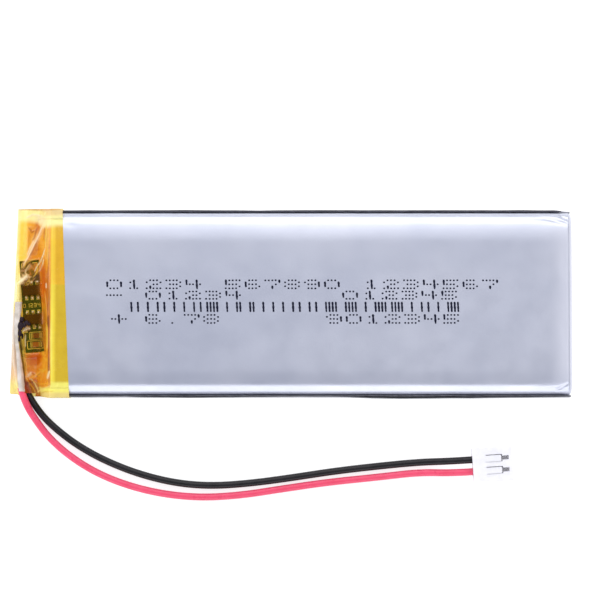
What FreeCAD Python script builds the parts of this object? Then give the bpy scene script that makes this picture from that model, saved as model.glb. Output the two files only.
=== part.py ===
import FreeCAD, Part
import Sketcher
import math
import os
from FreeCAD import Vector, Placement, Rotation

# Flat lithium-polymer pouch cell with protection board, tape wrap, two leads and a plug.
# Millimetres. X runs along the cell, from the tab end (-X) to the folded end (+X).
# Y runs across it and Z points up. The cell lies on Z = 0.

os.makedirs("parts", exist_ok=True)
doc = FreeCAD.newDocument("pouch_battery_cell")

# ---------------------------------------------------------------- driving dimensions
sheet = doc.addObject("Spreadsheet::Sheet", "dims")
TABLE = [
    # pouch
    ("cell_thickness", 5.0), ("film", 0.15), ("fold_end", 46.5), ("step_pos", -40.5),
    ("terrace_pos", -44.8), ("cup_width", 30.6), ("corner_radius", 2.0),
    ("shoulder_radius", 1.6), ("flange_gap", 0.05), ("flange_top_back", 3.2), ("flange_top_front", 4.0),
    ("flange_start", -41.2), ("flange_stop", 46.3), ("terrace_width", 26.4),
    # wound roll
    ("roll_start", -38.8), ("roll_length", 84.0), ("roll_turns", 4.0),
    ("winding_pitch", 0.44), ("winding_core", 0.16), ("roll_flat_half", 12.55),
    ("electrode_thickness", 0.13), ("separator_thickness", 0.04), ("winding_gap", 0.02),
    ("stop_tape_length", 14.0), ("stop_tape_width", 20.0), ("stop_tape_thickness", 0.05),
    # tabs
    ("tab_width", 4.0), ("tab_thickness", 0.1), ("tab_film_width", 6.0),
    ("tab_film_thickness", 0.07), ("tab_offset", 5.7), ("tab_centre", -0.5),
    ("tab_fold_top", 0.9), ("tab_inner_end", -33.0), ("tab_back_end", -42.2),
    ("tab_fold_pos", -45.05),
    # terrace insulation and links
    ("insulation_thickness", 0.06), ("insulation_width", 26.0), ("insulation_base", 0.6),
    ("link_length", 3.0), ("link_width", 3.2), ("link_thickness", 0.12),
    # board
    ("board_width", 3.3), ("board_length", 15.5), ("board_thickness", 0.6),
    ("board_base", 1.02), ("board_turn", 4.2), ("board_pos_x", -43.9), ("board_pos_y", -0.33),
    ("pad_thickness", 0.03), ("pad_long", 0.62), ("pad_short", 0.5),
    # six-lead packages
    ("chip_length", 2.9), ("chip_width", 1.6), ("chip_height", 1.0), ("chip_standoff", 0.08),
    ("chip_pitch", 0.95), ("chip_lead_width", 0.36), ("chip_lead_thickness", 0.13),
    ("chip_span", 2.8), ("first_chip_x", 0.12), ("first_chip_y", 2.68),
    ("second_chip_x", 0.12), ("second_chip_y", -2.2),
    # chip resistor and capacitor
    ("small_length", 1.6), ("small_width", 0.8), ("small_cap", 0.3),
    ("resistor_height", 0.45), ("capacitor_height", 0.8),
    ("resistor_x", 0.38), ("resistor_y", -4.95), ("capacitor_x", 0.22), ("capacitor_y", -6.45),
    # tape
    ("tape_thickness", 0.06), ("tape_left_back", -46.12), ("tape_left_front", -47.4),
    ("tape_right_back", -38.67), ("tape_right_front", -37.5),
    # leads
    ("lead_diameter", 1.2), ("core_diameter", 0.4), ("core_clearance", 0.02),
    # plug
    ("plug_x", 33.1), ("plug_y", -26.8), ("plug_turn", 4.0),
    ("plug_length", 6.6), ("plug_width", 5.8), ("plug_height", 4.5), ("plug_pitch", 2.0),
    ("cavity_width", 1.66), ("cavity_height", 1.9), ("cavity_mid", 2.05),
    ("window_back", -1.1), ("window_shoulder", 1.62), ("window_front", 2.7), ("window_half", 0.62),
    ("opening_half", 0.34), ("tongue_end", 1.45),
    ("contact_width", 1.36), ("contact_height", 1.5), ("contact_wall", 0.18),
    ("contact_length", 3.2),
]
for row, (word, number) in enumerate(TABLE, start=1):
    sheet.set("A%d" % row, word)
    sheet.set("B%d" % row, "%.6g" % number)
    sheet.setAlias("B%d" % row, word)
doc.recompute()


def size(word):
    return float(sheet.get(word))


def mix(*terms):
    """Value and expression of a sum of sheet cells: (factor, word) pairs and plain numbers."""
    value, text = 0.0, []
    for term in terms:
        if isinstance(term, tuple):
            value += term[0] * size(term[1])
            text.append("(%g) * dims.%s" % term)
        else:
            value += term
            text.append("(%g)" % term)
    return value, " + ".join(text)


def bind(obj, prop, *terms):
    value, text = mix(*terms)
    obj.setExpression(prop, text)
    return value


# ---------------------------------------------------------------- Part Design helpers
def new_body(label):
    body = doc.addObject("PartDesign::Body", label)
    body.Label = label
    body.AllowCompound = True
    return body


def plane(body, role):
    return [f for f in body.Origin.OriginFeatures if f.Role == role][0]


def new_sketch(body, name, role="XY_Plane", lift=None):
    sk = body.newObject("Sketcher::SketchObject", name)
    sk.AttachmentSupport = [(plane(body, role), "")]
    sk.MapMode = "FlatFace"
    if lift is not None:
        sk.setExpression("AttachmentOffset.Base.z", mix(*lift)[1])
    return sk


def add_rect(sk, x_low, x_high, y_low, y_high):
    """Rectangle tied to the sheet on all four sides."""
    (xa, ea), (xb, eb) = mix(*x_low), mix(*x_high)
    (ya, ec), (yb, ed) = mix(*y_low), mix(*y_high)
    corners = [Vector(xa, ya, 0), Vector(xb, ya, 0), Vector(xb, yb, 0), Vector(xa, yb, 0)]
    first = len(sk.Geometry)
    for k in range(4):
        sk.addGeometry(Part.LineSegment(corners[k], corners[(k + 1) % 4]), False)
    for k in range(4):
        sk.addConstraint(Sketcher.Constraint("Coincident", first + k, 2, first + (k + 1) % 4, 1))
    sk.addConstraint(Sketcher.Constraint("Horizontal", first))
    sk.addConstraint(Sketcher.Constraint("Horizontal", first + 2))
    sk.addConstraint(Sketcher.Constraint("Vertical", first + 1))
    sk.addConstraint(Sketcher.Constraint("Vertical", first + 3))
    for kind, point, value, text in (("DistanceX", (first, 1), xa, ea), ("DistanceX", (first, 2), xb, eb),
                                     ("DistanceY", (first, 1), ya, ec), ("DistanceY", (first + 2, 1), yb, ed)):
        index = sk.addConstraint(Sketcher.Constraint(kind, -1, 1, point[0], point[1], value))
        sk.setExpression("Constraints[%d]" % index, text)


def add_loop(sk, points):
    """Closed loop of straight lines through points worked out from the sheet."""
    first = len(sk.Geometry)
    n = len(points)
    for k in range(n):
        a, b = points[k], points[(k + 1) % n]
        sk.addGeometry(Part.LineSegment(Vector(a[0], a[1], 0), Vector(b[0], b[1], 0)), False)
    for k in range(n):
        sk.addConstraint(Sketcher.Constraint("Coincident", first + k, 2, first + (k + 1) % n, 1))


def add_round_loop(sk, xa, xb, ya, yb, r):
    """Closed rectangle with round corners."""
    d = r * (1 - math.sqrt(0.5))
    run = [(xa + r, ya), (xb - r, ya), (xb - d, ya + d), (xb, ya + r), (xb, yb - r), (xb - d, yb - d),
           (xb - r, yb), (xa + r, yb), (xa + d, yb - d), (xa, yb - r), (xa, ya + r), (xa + d, ya + d)]
    v = [Vector(x, y, 0) for x, y in run]
    for k in range(4):
        sk.addGeometry(Part.LineSegment(v[3 * k], v[3 * k + 1]), False)
        sk.addGeometry(Part.Arc(v[3 * k + 1], v[3 * k + 2], v[(3 * k + 3) % 12]), False)


def add_pad(body, sk, name, terms, both=False, back=False):
    pad = body.newObject("PartDesign::Pad", name)
    pad.Profile = sk
    bind(pad, "Length", *terms)
    if both:
        pad.SideType = "Symmetric" if hasattr(pad, "SideType") else None
    pad.Reversed = back
    doc.recompute()
    if "Invalid" in pad.State or "Invalid" in sk.State:
        raise RuntimeError("pad %s failed: %s %s" % (name, pad.State, sk.State))
    return pad


def add_pocket(body, sk, name, terms, both=False, back=False, loss=True):
    before = body.Shape.Volume
    pocket = body.newObject("PartDesign::Pocket", name)
    pocket.Profile = sk
    bind(pocket, "Length", *terms)
    if both:
        pocket.SideType = "Symmetric"
    pocket.Reversed = back
    doc.recompute()
    if loss and not body.Shape.Volume < before - 1e-6:
        raise RuntimeError("pocket %s cuts nothing: %.4f, %s, sketch %s" % (name, before, pocket.State, sk.State))
    return pocket


def pick_edges(shape, test):
    return ["Edge%d" % (k + 1) for k, e in enumerate(shape.Edges) if test(e)]


def add_fillet(body, base, names, name, terms):
    fil = body.newObject("PartDesign::Fillet", name)
    fil.Base = (base, names)
    bind(fil, "Radius", *terms)
    doc.recompute()
    return fil


def prim(kind, name, **exprs):
    """Part primitive with its sizes bound to the sheet."""
    obj = doc.addObject(kind, name)
    for prop, terms in exprs.items():
        bind(obj, prop, *terms)
    return obj


def place(obj, pos, turn=None):
    obj.Placement = Placement(Vector(*pos), turn if turn is not None else Rotation())
    return obj


# ================================================================ pouch, drawn half
film = size("film")
cup = new_body("pouch_cup")
place(cup, (0, 0, film))
half_flange = ((0.5, "cup_width"), (1, "flange_gap"), (1, "film"))
hf = mix(*half_flange)[0]
tw = size("terrace_width") / 2
# outer form of the draw, rounded, then hollowed from its open side
sk = new_sketch(cup, "cup_outline")
add_rect(sk, ((1, "step_pos"),), ((1, "fold_end"),), ((-0.5, "cup_width"),), ((0.5, "cup_width"),))
pad = add_pad(cup, sk, "cup_draw", ((1, "cell_thickness"), (-1, "film")))
edges = pick_edges(pad.Shape, lambda e: e.BoundBox.ZLength > 4)
fil = add_fillet(cup, pad, edges, "cup_corners", ((1, "corner_radius"),))
top = size("cell_thickness") - film
edges = pick_edges(fil.Shape, lambda e: e.BoundBox.ZMin > top - 1e-4)
fil = add_fillet(cup, fil, edges, "cup_shoulder", ((1, "shoulder_radius"),))
low_face = ["Face%d" % (k + 1) for k, f in enumerate(fil.Shape.Faces) if f.BoundBox.ZMax < 1e-4]
hollow = cup.newObject("PartDesign::Thickness", "cup_hollow")
hollow.Base = (fil, low_face)
bind(hollow, "Value", (1, "film"))
hollow.Reversed = True
doc.recompute()
# flat rim: the terrace at the tab end and the root of the side seals
sk = new_sketch(cup, "cup_rim")
add_loop(sk, [(size("terrace_pos"), -tw), (size("flange_start"), -tw), (size("flange_start"), -hf),
              (size("fold_end"), -hf), (size("fold_end"), hf), (size("flange_start"), hf),
              (size("flange_start"), tw), (size("terrace_pos"), tw)])
add_round_loop(sk, size("step_pos") + film, size("fold_end") - film,
               -size("cup_width") / 2 + film, size("cup_width") / 2 - film, size("corner_radius") - film)
add_pad(cup, sk, "cup_rim_pad", ((1, "film"),))
# folded side seals: this layer stands against the side walls
for sign, where in ((1, "back"), (-1, "front")):
    sk = new_sketch(cup, "seal_strip_" + where)
    a, b = ((sign * 0.5, "cup_width"), (sign, "flange_gap")), ((sign * 0.5, "cup_width"), (sign, "flange_gap"), (sign, "film"))
    low, high = (a, b) if sign > 0 else (b, a)
    add_rect(sk, ((1, "flange_start"),), ((1, "flange_stop"),), low, high)
    add_pad(cup, sk, "seal_fold_" + where, ((1, "flange_top_" + where), (-1, "film")))
# humps over the two tabs, with their slots
slot_height = ((1, "tab_thickness"), (2, "tab_film_thickness"))
sk = new_sketch(cup, "tab_humps")
for sign in (1, -1):
    mid = ((sign, "tab_offset"), (1, "tab_centre"))
    add_rect(sk, ((1, "terrace_pos"),), ((1, "step_pos"), (0.6, "film")),
             mid + ((-0.5, "tab_film_width"), -0.2), mid + ((0.5, "tab_film_width"), 0.2))
add_pad(cup, sk, "tab_hump", slot_height + ((1, "film"),))
sk = new_sketch(cup, "tab_slots")
for sign in (1, -1):
    mid = ((sign, "tab_offset"), (1, "tab_centre"))
    add_rect(sk, ((1, "terrace_pos"), -0.5), ((1, "step_pos"), (1.4, "film")),
             mid + ((-0.5, "tab_film_width"), -0.02), mid + ((0.5, "tab_film_width"), 0.02))
add_pocket(cup, sk, "tab_slot", slot_height + (0.01,), back=True)

# ================================================================ pouch, flat half
cover = new_body("pouch_cover")
out = mix((0.5, "cup_width"), (1, "flange_gap"), (2, "film"))[0]
sk = new_sketch(cover, "cover_outline")
add_loop(sk, [(size("terrace_pos"), -tw), (size("flange_start"), -tw), (size("flange_start"), -out),
              (size("fold_end"), -out), (size("fold_end"), out), (size("flange_start"), out),
              (size("flange_start"), tw), (size("terrace_pos"), tw)])
add_pad(cover, sk, "cover_sheet", ((1, "film"),))
for sign, where in ((1, "back"), (-1, "front")):
    sk = new_sketch(cover, "cover_strip_" + where)
    a, b = ((sign * 0.5, "cup_width"), (sign, "flange_gap"), (sign, "film")), ((sign * 0.5, "cup_width"), (sign, "flange_gap"), (2 * sign, "film"))
    low, high = (a, b) if sign > 0 else (b, a)
    add_rect(sk, ((1, "flange_start"),), ((1, "flange_stop"),), low, high)
    add_pad(cover, sk, "cover_fold_" + where, ((1, "flange_top_" + where),))


def skew(side, y, extra=0.0):
    """X of the tape's left or right edge at a given Y: the tape lies a little askew."""
    back, front = size("tape_%s_back" % side), size("tape_%s_front" % side)
    return front + (back - front) * (y + 15.6) / 31.2 + extra


sk = new_sketch(cover, "tape_seat")
add_loop(sk, [(-48, -17), (skew("right", -17, 0.03), -17), (skew("right", 17, 0.03), 17), (-48, 17)])
add_pocket(cover, sk, "tape_seat_cut", ((1, "tape_thickness"),), back=True)

# ================================================================ wound roll
def winding(label, inner, thickness):
    """One band of the flat winding: a race-track spiral, extruded along X."""
    pitch, core, flat = size("winding_pitch"), size("winding_core"), size("roll_flat_half")
    body = new_body(label)
    # the sketch lies in YZ: its x is the body's Y and its y is the body's Z
    sk = new_sketch(body, label + "_spiral", "YZ_Plane")
    halves = int(2 * size("roll_turns"))

    def curve(offset):
        segs, starts = [], []
        for k in range(halves):
            right = k % 2 == 0
            r = core + offset + k * pitch / 2
            cy = flat if right else -flat
            cz = -pitch / 4 if right else pitch / 4
            a = Vector(cy, cz + r, 0) if right else Vector(cy, cz - r, 0)
            b = Vector(cy, cz - r, 0) if right else Vector(cy, cz + r, 0)
            m = Vector(cy + r, cz, 0) if right else Vector(cy - r, cz, 0)
            if k == 0:
                lead_in = Vector(-flat, a.y, 0)
                segs.append(Part.LineSegment(lead_in, a))
                starts.append(lead_in)
            else:
                segs.append(Part.LineSegment(last, a))
            segs.append(Part.Arc(a, m, b))
            last = b
        tail = Vector(flat - 2.0, last.y, 0)
        segs.append(Part.LineSegment(last, tail))
        return segs, starts[0], tail

    low, low_a, low_b = curve(inner)
    high, high_a, high_b = curve(inner + thickness)
    geo = low + [Part.LineSegment(low_b, high_b)] + high + [Part.LineSegment(high_a, low_a)]
    for g in geo:
        sk.addGeometry(g, False)
    add_pad(body, sk, label + "_length", ((1, "roll_length"),))
    return body


roll_mid = film + (size("cell_thickness") - 2 * film) / 2
et, st, wg = size("electrode_thickness"), size("separator_thickness"), size("winding_gap")
level = 0.0
bands = []
for label, thickness in (("negative_electrode", et), ("separator_inner", st),
                         ("positive_electrode", et), ("separator_outer", st)):
    band = winding(label, level, thickness)
    place(band, (size("roll_start"), 0, roll_mid))
    bands.append(band)
    level += thickness + wg
# the roll lies just above the tabs
roll_low = min(band.Shape.BoundBox.ZMin for band in bands)
lift = film + 0.2 - roll_low
for band in bands:
    place(band, (size("roll_start"), 0, roll_mid + lift))
doc.recompute()
roll_low = min(band.Shape.BoundBox.ZMin for band in bands)
roll_top = max(band.Shape.BoundBox.ZMax for band in bands)
print("roll z %.3f to %.3f, inside %.3f to %.3f" % (roll_low, roll_top, film, size("cell_thickness") - film))

stop = prim("Part::Box", "winding_stop_tape", Length=((1, "stop_tape_length"),),
            Width=((1, "stop_tape_width"),), Height=((1, "stop_tape_thickness"),))
place(stop, (6.0, -10.0, roll_top + 0.01))

# ================================================================ tabs
slot_low = film + 0.005


def tab(label, sign):
    """Strip through the seal, folded up and back over the terrace."""
    body = new_body(label)
    sk = new_sketch(body, label + "_path", "XZ_Plane")
    th = size("tab_thickness")
    z0 = slot_low + size("tab_film_thickness")
    xf, xb, top_z, xi = size("tab_fold_pos"), size("tab_back_end"), size("tab_fold_top"), size("tab_inner_end")
    add_loop(sk, [(xi, z0), (xf, z0), (xf, top_z), (xb, top_z), (xb, top_z - th),
                  (xf + th, top_z - th), (xf + th, z0 + th), (xi, z0 + th)])
    pad = add_pad(body, sk, label + "_strip", ((1, "tab_width"),))
    b = pad.Shape.BoundBox
    mid = sign * size("tab_offset") + size("tab_centre")
    place(body, (0, mid - (b.YMin + b.YMax) / 2, 0))
    return body


def tab_film(label, sign):
    """Sealant strip above and below the tab, joined at its two sides."""
    length = ((1, "step_pos"), (-1, "terrace_pos"), (1.2, "film"), 0.0)
    outer = prim("Part::Box", label + "_block", Length=length, Width=((1, "tab_film_width"),),
                 Height=((1, "tab_thickness"), (2, "tab_film_thickness")))
    inner = prim("Part::Box", label + "_gap", Length=length[:-1] + (1.0,), Width=((1, "tab_width"), 0.02),
                 Height=((1, "tab_thickness"),))
    mid = sign * size("tab_offset") + size("tab_centre")
    place(outer, (size("terrace_pos"), mid - size("tab_film_width") / 2, slot_low))
    place(inner, (size("terrace_pos") - 0.5, mid - size("tab_width") / 2 - 0.01, slot_low + size("tab_film_thickness")))
    cut = doc.addObject("Part::Cut", label)
    cut.Base, cut.Tool = outer, inner
    return cut


tab("positive_tab", 1)
tab("negative_tab", -1)
tab_film("positive_tab_film", 1)
tab_film("negative_tab_film", -1)

insulation = prim("Part::Box", "terrace_insulation", Length=((1, "step_pos"), (-1, "terrace_pos"), -0.1),
                  Width=((1, "insulation_width"),), Height=((1, "insulation_thickness"),))
place(insulation, (size("terrace_pos"), -size("insulation_width") / 2, size("insulation_base")))

# ================================================================ protection board
turn = Rotation(Vector(0, 0, 1), size("board_turn"))
board_pos = Vector(size("board_pos_x"), size("board_pos_y"), size("board_base"))


def on_board(obj, x, y, z=0.0, spin=0.0):
    """Put an object whose own origin is its centre at (x, y) of the board, z above its face."""
    at = board_pos + turn.multVec(Vector(x, y, size("board_thickness") + z))
    obj.Placement = Placement(at, Rotation(Vector(0, 0, 1), size("board_turn") + spin))
    return obj


board = new_body("circuit_board")
sk = new_sketch(board, "board_outline")
add_rect(sk, ((-0.5, "board_width"),), ((0.5, "board_width"),), ((-0.5, "board_length"),), ((0.5, "board_length"),))
pad = add_pad(board, sk, "board_sheet", ((1, "board_thickness"),))
edges = pick_edges(pad.Shape, lambda e: e.BoundBox.ZLength > 0.5)
add_fillet(board, pad, edges, "board_corners", (0.25,))
board.Placement = Placement(board_pos, turn)

for label, sign in (("positive_link_strip", 1), ("negative_link_strip", -1)):
    strip = prim("Part::Box", label, Length=((1, "link_length"),), Width=((1, "link_width"),),
                 Height=((1, "link_thickness"),))
    mid = sign * size("tab_offset") + size("tab_centre")
    place(strip, (-43.3 - size("link_length") / 2, mid - size("link_width") / 2, size("tab_fold_top")))

chips = (("mosfet", "first_chip"), ("protection_ic", "second_chip"))
lead_row = size("chip_span") / 2
pads = []
for label, key in chips:
    cx, cy = size(key + "_x"), size(key + "_y")
    body = new_body(label + "_body")
    sk = new_sketch(body, label + "_outline")
    add_rect(sk, ((-0.5, "chip_length"),), ((0.5, "chip_length"),), ((-0.5, "chip_width"),), ((0.5, "chip_width"),))
    pad = add_pad(body, sk, label + "_block", ((1, "chip_height"),))
    top_z = size("chip_height")
    edges = pick_edges(pad.Shape, lambda e: e.BoundBox.ZMin > top_z - 1e-4 or e.BoundBox.ZLength > 0.5)
    cham = body.newObject("PartDesign::Chamfer", label + "_draft")
    cham.Base = (pad, edges)
    cham.Size = 0.1
    doc.recompute()
    on_board(body, cx, cy, size("pad_thickness") + size("chip_standoff"))
    # gull-wing leads: one profile on each side, repeated three times at the lead pitch
    wings = new_body(label + "_leads")
    sk = new_sketch(wings, label + "_wing", "YZ_Plane")
    lt, half = size("chip_lead_thickness"), size("chip_width") / 2
    high = size("chip_standoff") + 0.42
    for s in (1, -1):
        pts = [(half, high), (half + 0.16, high), (half + 0.30, lt), (lead_row, lt), (lead_row, 0.0),
               (half + 0.22, 0.0), (half + 0.07, high - lt), (half, high - lt)]
        add_loop(sk, [(s * a, b) for a, b in pts])
    pad = add_pad(wings, sk, label + "_wing_pad", ((1, "chip_lead_width"),))
    pat = wings.newObject("PartDesign::LinearPattern", label + "_wing_row")
    pat.Originals = [pad]
    pat.Direction = (sk, ["N_Axis"])
    pat.Length = 2 * size("chip_pitch")
    pat.Occurrences = 3
    wings.Tip = pat
    doc.recompute()
    shift = size("chip_pitch") + size("chip_lead_width") / 2
    on_board(wings, cx - shift * math.cos(0.0), cy, size("pad_thickness"))
    for i in (-1, 0, 1):
        for s in (1, -1):
            pads.append((cx + i * size("chip_pitch"), cy + s * (lead_row - 0.12), size("pad_short"), size("pad_long")))

for label, body_h in (("resistor", "resistor_height"), ("capacitor", "capacitor_height")):
    cx, cy = size(label + "_x"), size(label + "_y")
    core = prim("Part::Box", label + "_body", Length=((1, "small_length"), (-2, "small_cap")),
                Width=((1, "small_width"),), Height=((1, body_h),))
    core.Placement = Placement(board_pos + turn.multVec(Vector(
        cx - size("small_length") / 2 + size("small_cap"), cy - size("small_width") / 2,
        size("board_thickness") + size("pad_thickness"))), turn)
    ends = []
    for k, x in enumerate((cx - size("small_length") / 2, cx + size("small_length") / 2 - size("small_cap"))):
        end = prim("Part::Box", "%s_cap_%d" % (label, k), Length=((1, "small_cap"),),
                   Width=((1, "small_width"),), Height=((1, body_h),))
        end.Placement = Placement(board_pos + turn.multVec(Vector(
            x, cy - size("small_width") / 2, size("board_thickness") + size("pad_thickness"))), turn)
        ends.append(end)
        pads.append((x + size("small_cap") / 2, cy, size("small_cap") + 0.3, size("small_width") + 0.1))
    group = doc.addObject("Part::Compound", label + "_caps")
    group.Links = ends

# tinned pads for the two leads
black_pad, red_pad = (-1.35, -3.9), (-0.75, 4.8)
pads.append((black_pad[0], black_pad[1], 0.58, 0.9))
pads.append((red_pad[0], red_pad[1], 1.3, 1.3))
pad_objs = []
for k, (x, y, w, d) in enumerate(pads):
    p = prim("Part::Box", "pad_%02d" % k, Height=((1, "pad_thickness"),))
    p.Length, p.Width = w, d
    p.Placement = Placement(board_pos + turn.multVec(Vector(x - w / 2, y - d / 2, size("board_thickness"))), turn)
    pad_objs.append(p)
group = doc.addObject("Part::Compound", "board_pads")
group.Links = pad_objs

# ================================================================ plug
plug_turn = Rotation(Vector(0, 0, 1), size("plug_turn"))
plug_at = Vector(size("plug_x"), size("plug_y"), 0)


def in_plug(x, y, z):
    return plug_at + plug_turn.multVec(Vector(x, y, z))


housing = new_body("plug_housing")
sk = new_sketch(housing, "housing_outline")
add_rect(sk, ((-0.5, "plug_length"),), ((0.5, "plug_length"),), ((-0.5, "plug_width"),), ((0.5, "plug_width"),))
pad = add_pad(housing, sk, "housing_block", ((1, "plug_height"),))
edges = pick_edges(pad.Shape, lambda e: e.BoundBox.XLength > 6)
fil = add_fillet(housing, pad, edges, "housing_edges", (0.25,))
# two contact cavities, right through along X
sk = new_sketch(housing, "cavities", "YZ_Plane")
for s in (1, -1):
    add_rect(sk, ((0.5 * s, "plug_pitch"), (-0.5, "cavity_width")), ((0.5 * s, "plug_pitch"), (0.5, "cavity_width")),
             ((1, "cavity_mid"), (-0.5, "cavity_height")), ((1, "cavity_mid"), (0.5, "cavity_height")))
add_pocket(housing, sk, "cavity_cut", ((2, "plug_length"),), both=True)
# windows over the contacts: a wide part for the spring tongue and a narrow opening in front of it
sk = new_sketch(housing, "windows", "XY_Plane", lift=((1, "plug_height"),))
wb, ws, wf = size("window_back"), size("window_shoulder"), size("window_front")
for s in (1, -1):
    c, wide, slim = s * size("plug_pitch") / 2, size("window_half"), size("opening_half")
    add_loop(sk, [(wb, c - wide), (ws, c - wide), (ws, c - slim), (wf, c - slim),
                  (wf, c + slim), (ws, c + slim), (ws, c + wide), (wb, c + wide)])
add_pocket(housing, sk, "window_cut", ((1, "plug_height"), (-1, "cavity_mid"), (-0.5, "cavity_height"), 0.02))
# spring tongues that lock the contacts, rooted at the back of each window
sk = new_sketch(housing, "tongues", "XY_Plane", lift=((1, "plug_height"), -0.85))
for s in (1, -1):
    add_rect(sk, ((1, "window_back"), -0.1), ((1, "tongue_end"),),
             ((0.5 * s, "plug_pitch"), (-1, "window_half"), 0.04), ((0.5 * s, "plug_pitch"), (1, "window_half"), -0.12))
add_pad(housing, sk, "tongue_pad", (0.8,))
# side keys of the plug
sk = new_sketch(housing, "side_keys", "XY_Plane", lift=(0.9,))
for s in (1, -1):
    lo, hi = ((0.5 * s, "plug_width"), -0.28 if s > 0 else -0.4), ((0.5 * s, "plug_width"), 0.4 if s > 0 else 0.28)
    add_rect(sk, (-2.0,), ((0.5, "plug_length"), 0.5), lo, hi)
add_pocket(housing, sk, "side_key_cut", (0.9,), back=True)
housing.Placement = Placement(plug_at, plug_turn)

mid = size("cavity_mid")
core_r = size("core_diameter") / 2
lead_r = size("lead_diameter") / 2
for label, s in (("negative_contact", 1), ("positive_contact", -1)):
    v = s * size("plug_pitch") / 2
    cw, ch, wall, cl = size("contact_width"), size("contact_height"), size("contact_wall"), size("contact_length")
    base_z = mid - ch / 2
    box = prim("Part::Box", label + "_box", Length=((1, "contact_length"),), Width=((1, "contact_width"),),
               Height=((1, "contact_height"),))
    box.Placement = Placement(in_plug(-0.2, v - cw / 2, base_z), plug_turn)
    hole = prim("Part::Box", label + "_hole", Length=((1, "contact_length"), 1.0),
                Width=((1, "contact_width"), (-2, "contact_wall")), Height=((1, "contact_height"), (-2, "contact_wall")))
    hole.Placement = Placement(in_plug(-0.7, v - cw / 2 + wall, base_z + wall), plug_turn)
    shell = doc.addObject("Part::Cut", label + "_receptacle")
    shell.Base, shell.Tool = box, hole
    floor = prim("Part::Box", label + "_floor", Width=(0.7,), Height=((1, "contact_wall"),))
    floor.Length = 2.9
    floor.Placement = Placement(in_plug(-3.0, v - 0.35, base_z), plug_turn)
    web = prim("Part::Box", label + "_web", Height=(0.4,))
    web.Length, web.Width = 1.0, 0.4
    web.Placement = Placement(in_plug(-1.8, v - 0.2, base_z), plug_turn)
    along = plug_turn.multiply(Rotation(Vector(0, 1, 0), 90))
    parts = [shell, floor, web]
    for tag, x, length, r_out in (("core_crimp", -1.8, 1.0, core_r + 0.24), ("jacket_crimp", -3.0, 0.8, lead_r + 0.19)):
        cyl = prim("Part::Cylinder", "%s_%s" % (label, tag), Height=(length,))
        cyl.Radius = r_out
        cyl.Placement = Placement(in_plug(x, v, mid), along)
        parts.append(cyl)
    body = doc.addObject("Part::MultiFuse", label + "_solid")
    body.Shapes = parts
    bores = []
    for tag, x, length, r_in in (("core_bore", -1.9, 1.2, core_r + 0.02), ("jacket_bore", -3.2, 1.25, lead_r + 0.02)):
        cyl = prim("Part::Cylinder", "%s_%s" % (label, tag), Height=(length,))
        cyl.Radius = r_in
        cyl.Placement = Placement(in_plug(x, v, mid), along)
        bores.append(cyl)
    tools = doc.addObject("Part::MultiFuse", label + "_bores")
    tools.Shapes = bores
    contact = doc.addObject("Part::Cut", label)
    contact.Base, contact.Tool = body, tools

# ================================================================ leads
# Route points of the two leads: from the board, out under the tape's front edge, down to the
# surface that the cell lies on and along it to the plug.
RED = [(-46.2, 0.4, 2.2), (-46.38, -4.4, 2.2), (-46.3, -9.2, 2.1), (-45.95, -13.4, 1.95),
       (-44.78, -17.0, 1.55), (-42.9, -19.9, 0.95), (-40.95, -22.4, 0.67), (-37.9, -25.15, 0.65),
       (-33.6, -27.95, 0.64), (-28.4, -30.15, 0.65), (-22.3, -31.7, 0.64), (-15.7, -32.35, 0.65),
       (-8.9, -31.95, 0.64), (-1.5, -30.8, 0.65), (6.0, -29.72, 0.64), (14.2, -28.9, 0.65),
       (21.0, -28.1, 0.8)]
BLACK = [(-46.2, -6.9, 0.74), (-46.15, -9.6, 0.74), (-45.75, -12.4, 0.74), (-44.7, -14.87, 0.71),
         (-43.4, -16.97, 0.67), (-41.75, -19.1, 0.66), (-39.4, -21.25, 0.64), (-36.2, -23.65, 0.65),
         (-31.7, -26.15, 0.64), (-26.0, -28.4, 0.65), (-19.9, -29.9, 0.64), (-14.0, -30.4, 0.65),
         (-7.4, -29.95, 0.64), (-0.7, -29.05, 0.65), (6.8, -27.9, 0.64), (14.2, -27.05, 0.65),
         (21.0, -26.4, 0.8)]


def route(points, radii=None):
    """Straight runs joined by tangent arcs, as large as their two runs allow."""
    pts = [Vector(*p) for p in points]
    used = []
    edges = []
    start = pts[0]
    for k in range(1, len(pts) - 1):
        a, b, c = pts[k - 1], pts[k], pts[k + 1]
        u, w = (b - a).normalize(), (c - b).normalize()
        half = math.acos(max(-1.0, min(1.0, u.dot(w)))) / 2
        short = min((b - a).Length, (c - b).Length)
        r = 0.45 * short / math.tan(half)
        if radii is not None and radii[k] is not None:
            r = radii[k]
        used.append(r)
        t = r * math.tan(half)
        p, q = b - u * t, b + w * t
        centre_way = (w - u).normalize()
        m = b + centre_way * (r / math.cos(half) - r)
        edges.append(Part.LineSegment(start, p).toShape())
        edges.append(Part.Arc(p, m, q).toShape())
        start = q
    edges.append(Part.LineSegment(start, pts[-1]).toShape())
    return Part.Wire(edges), [None] + used + [None]


def tube(wire, radius, points):
    way = (Vector(*points[1]) - Vector(*points[0])).normalize()
    disc = Part.Wire([Part.Circle(Vector(*points[0]), way, radius).toShape()])
    return wire.makePipeShell([disc], True, False)


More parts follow.
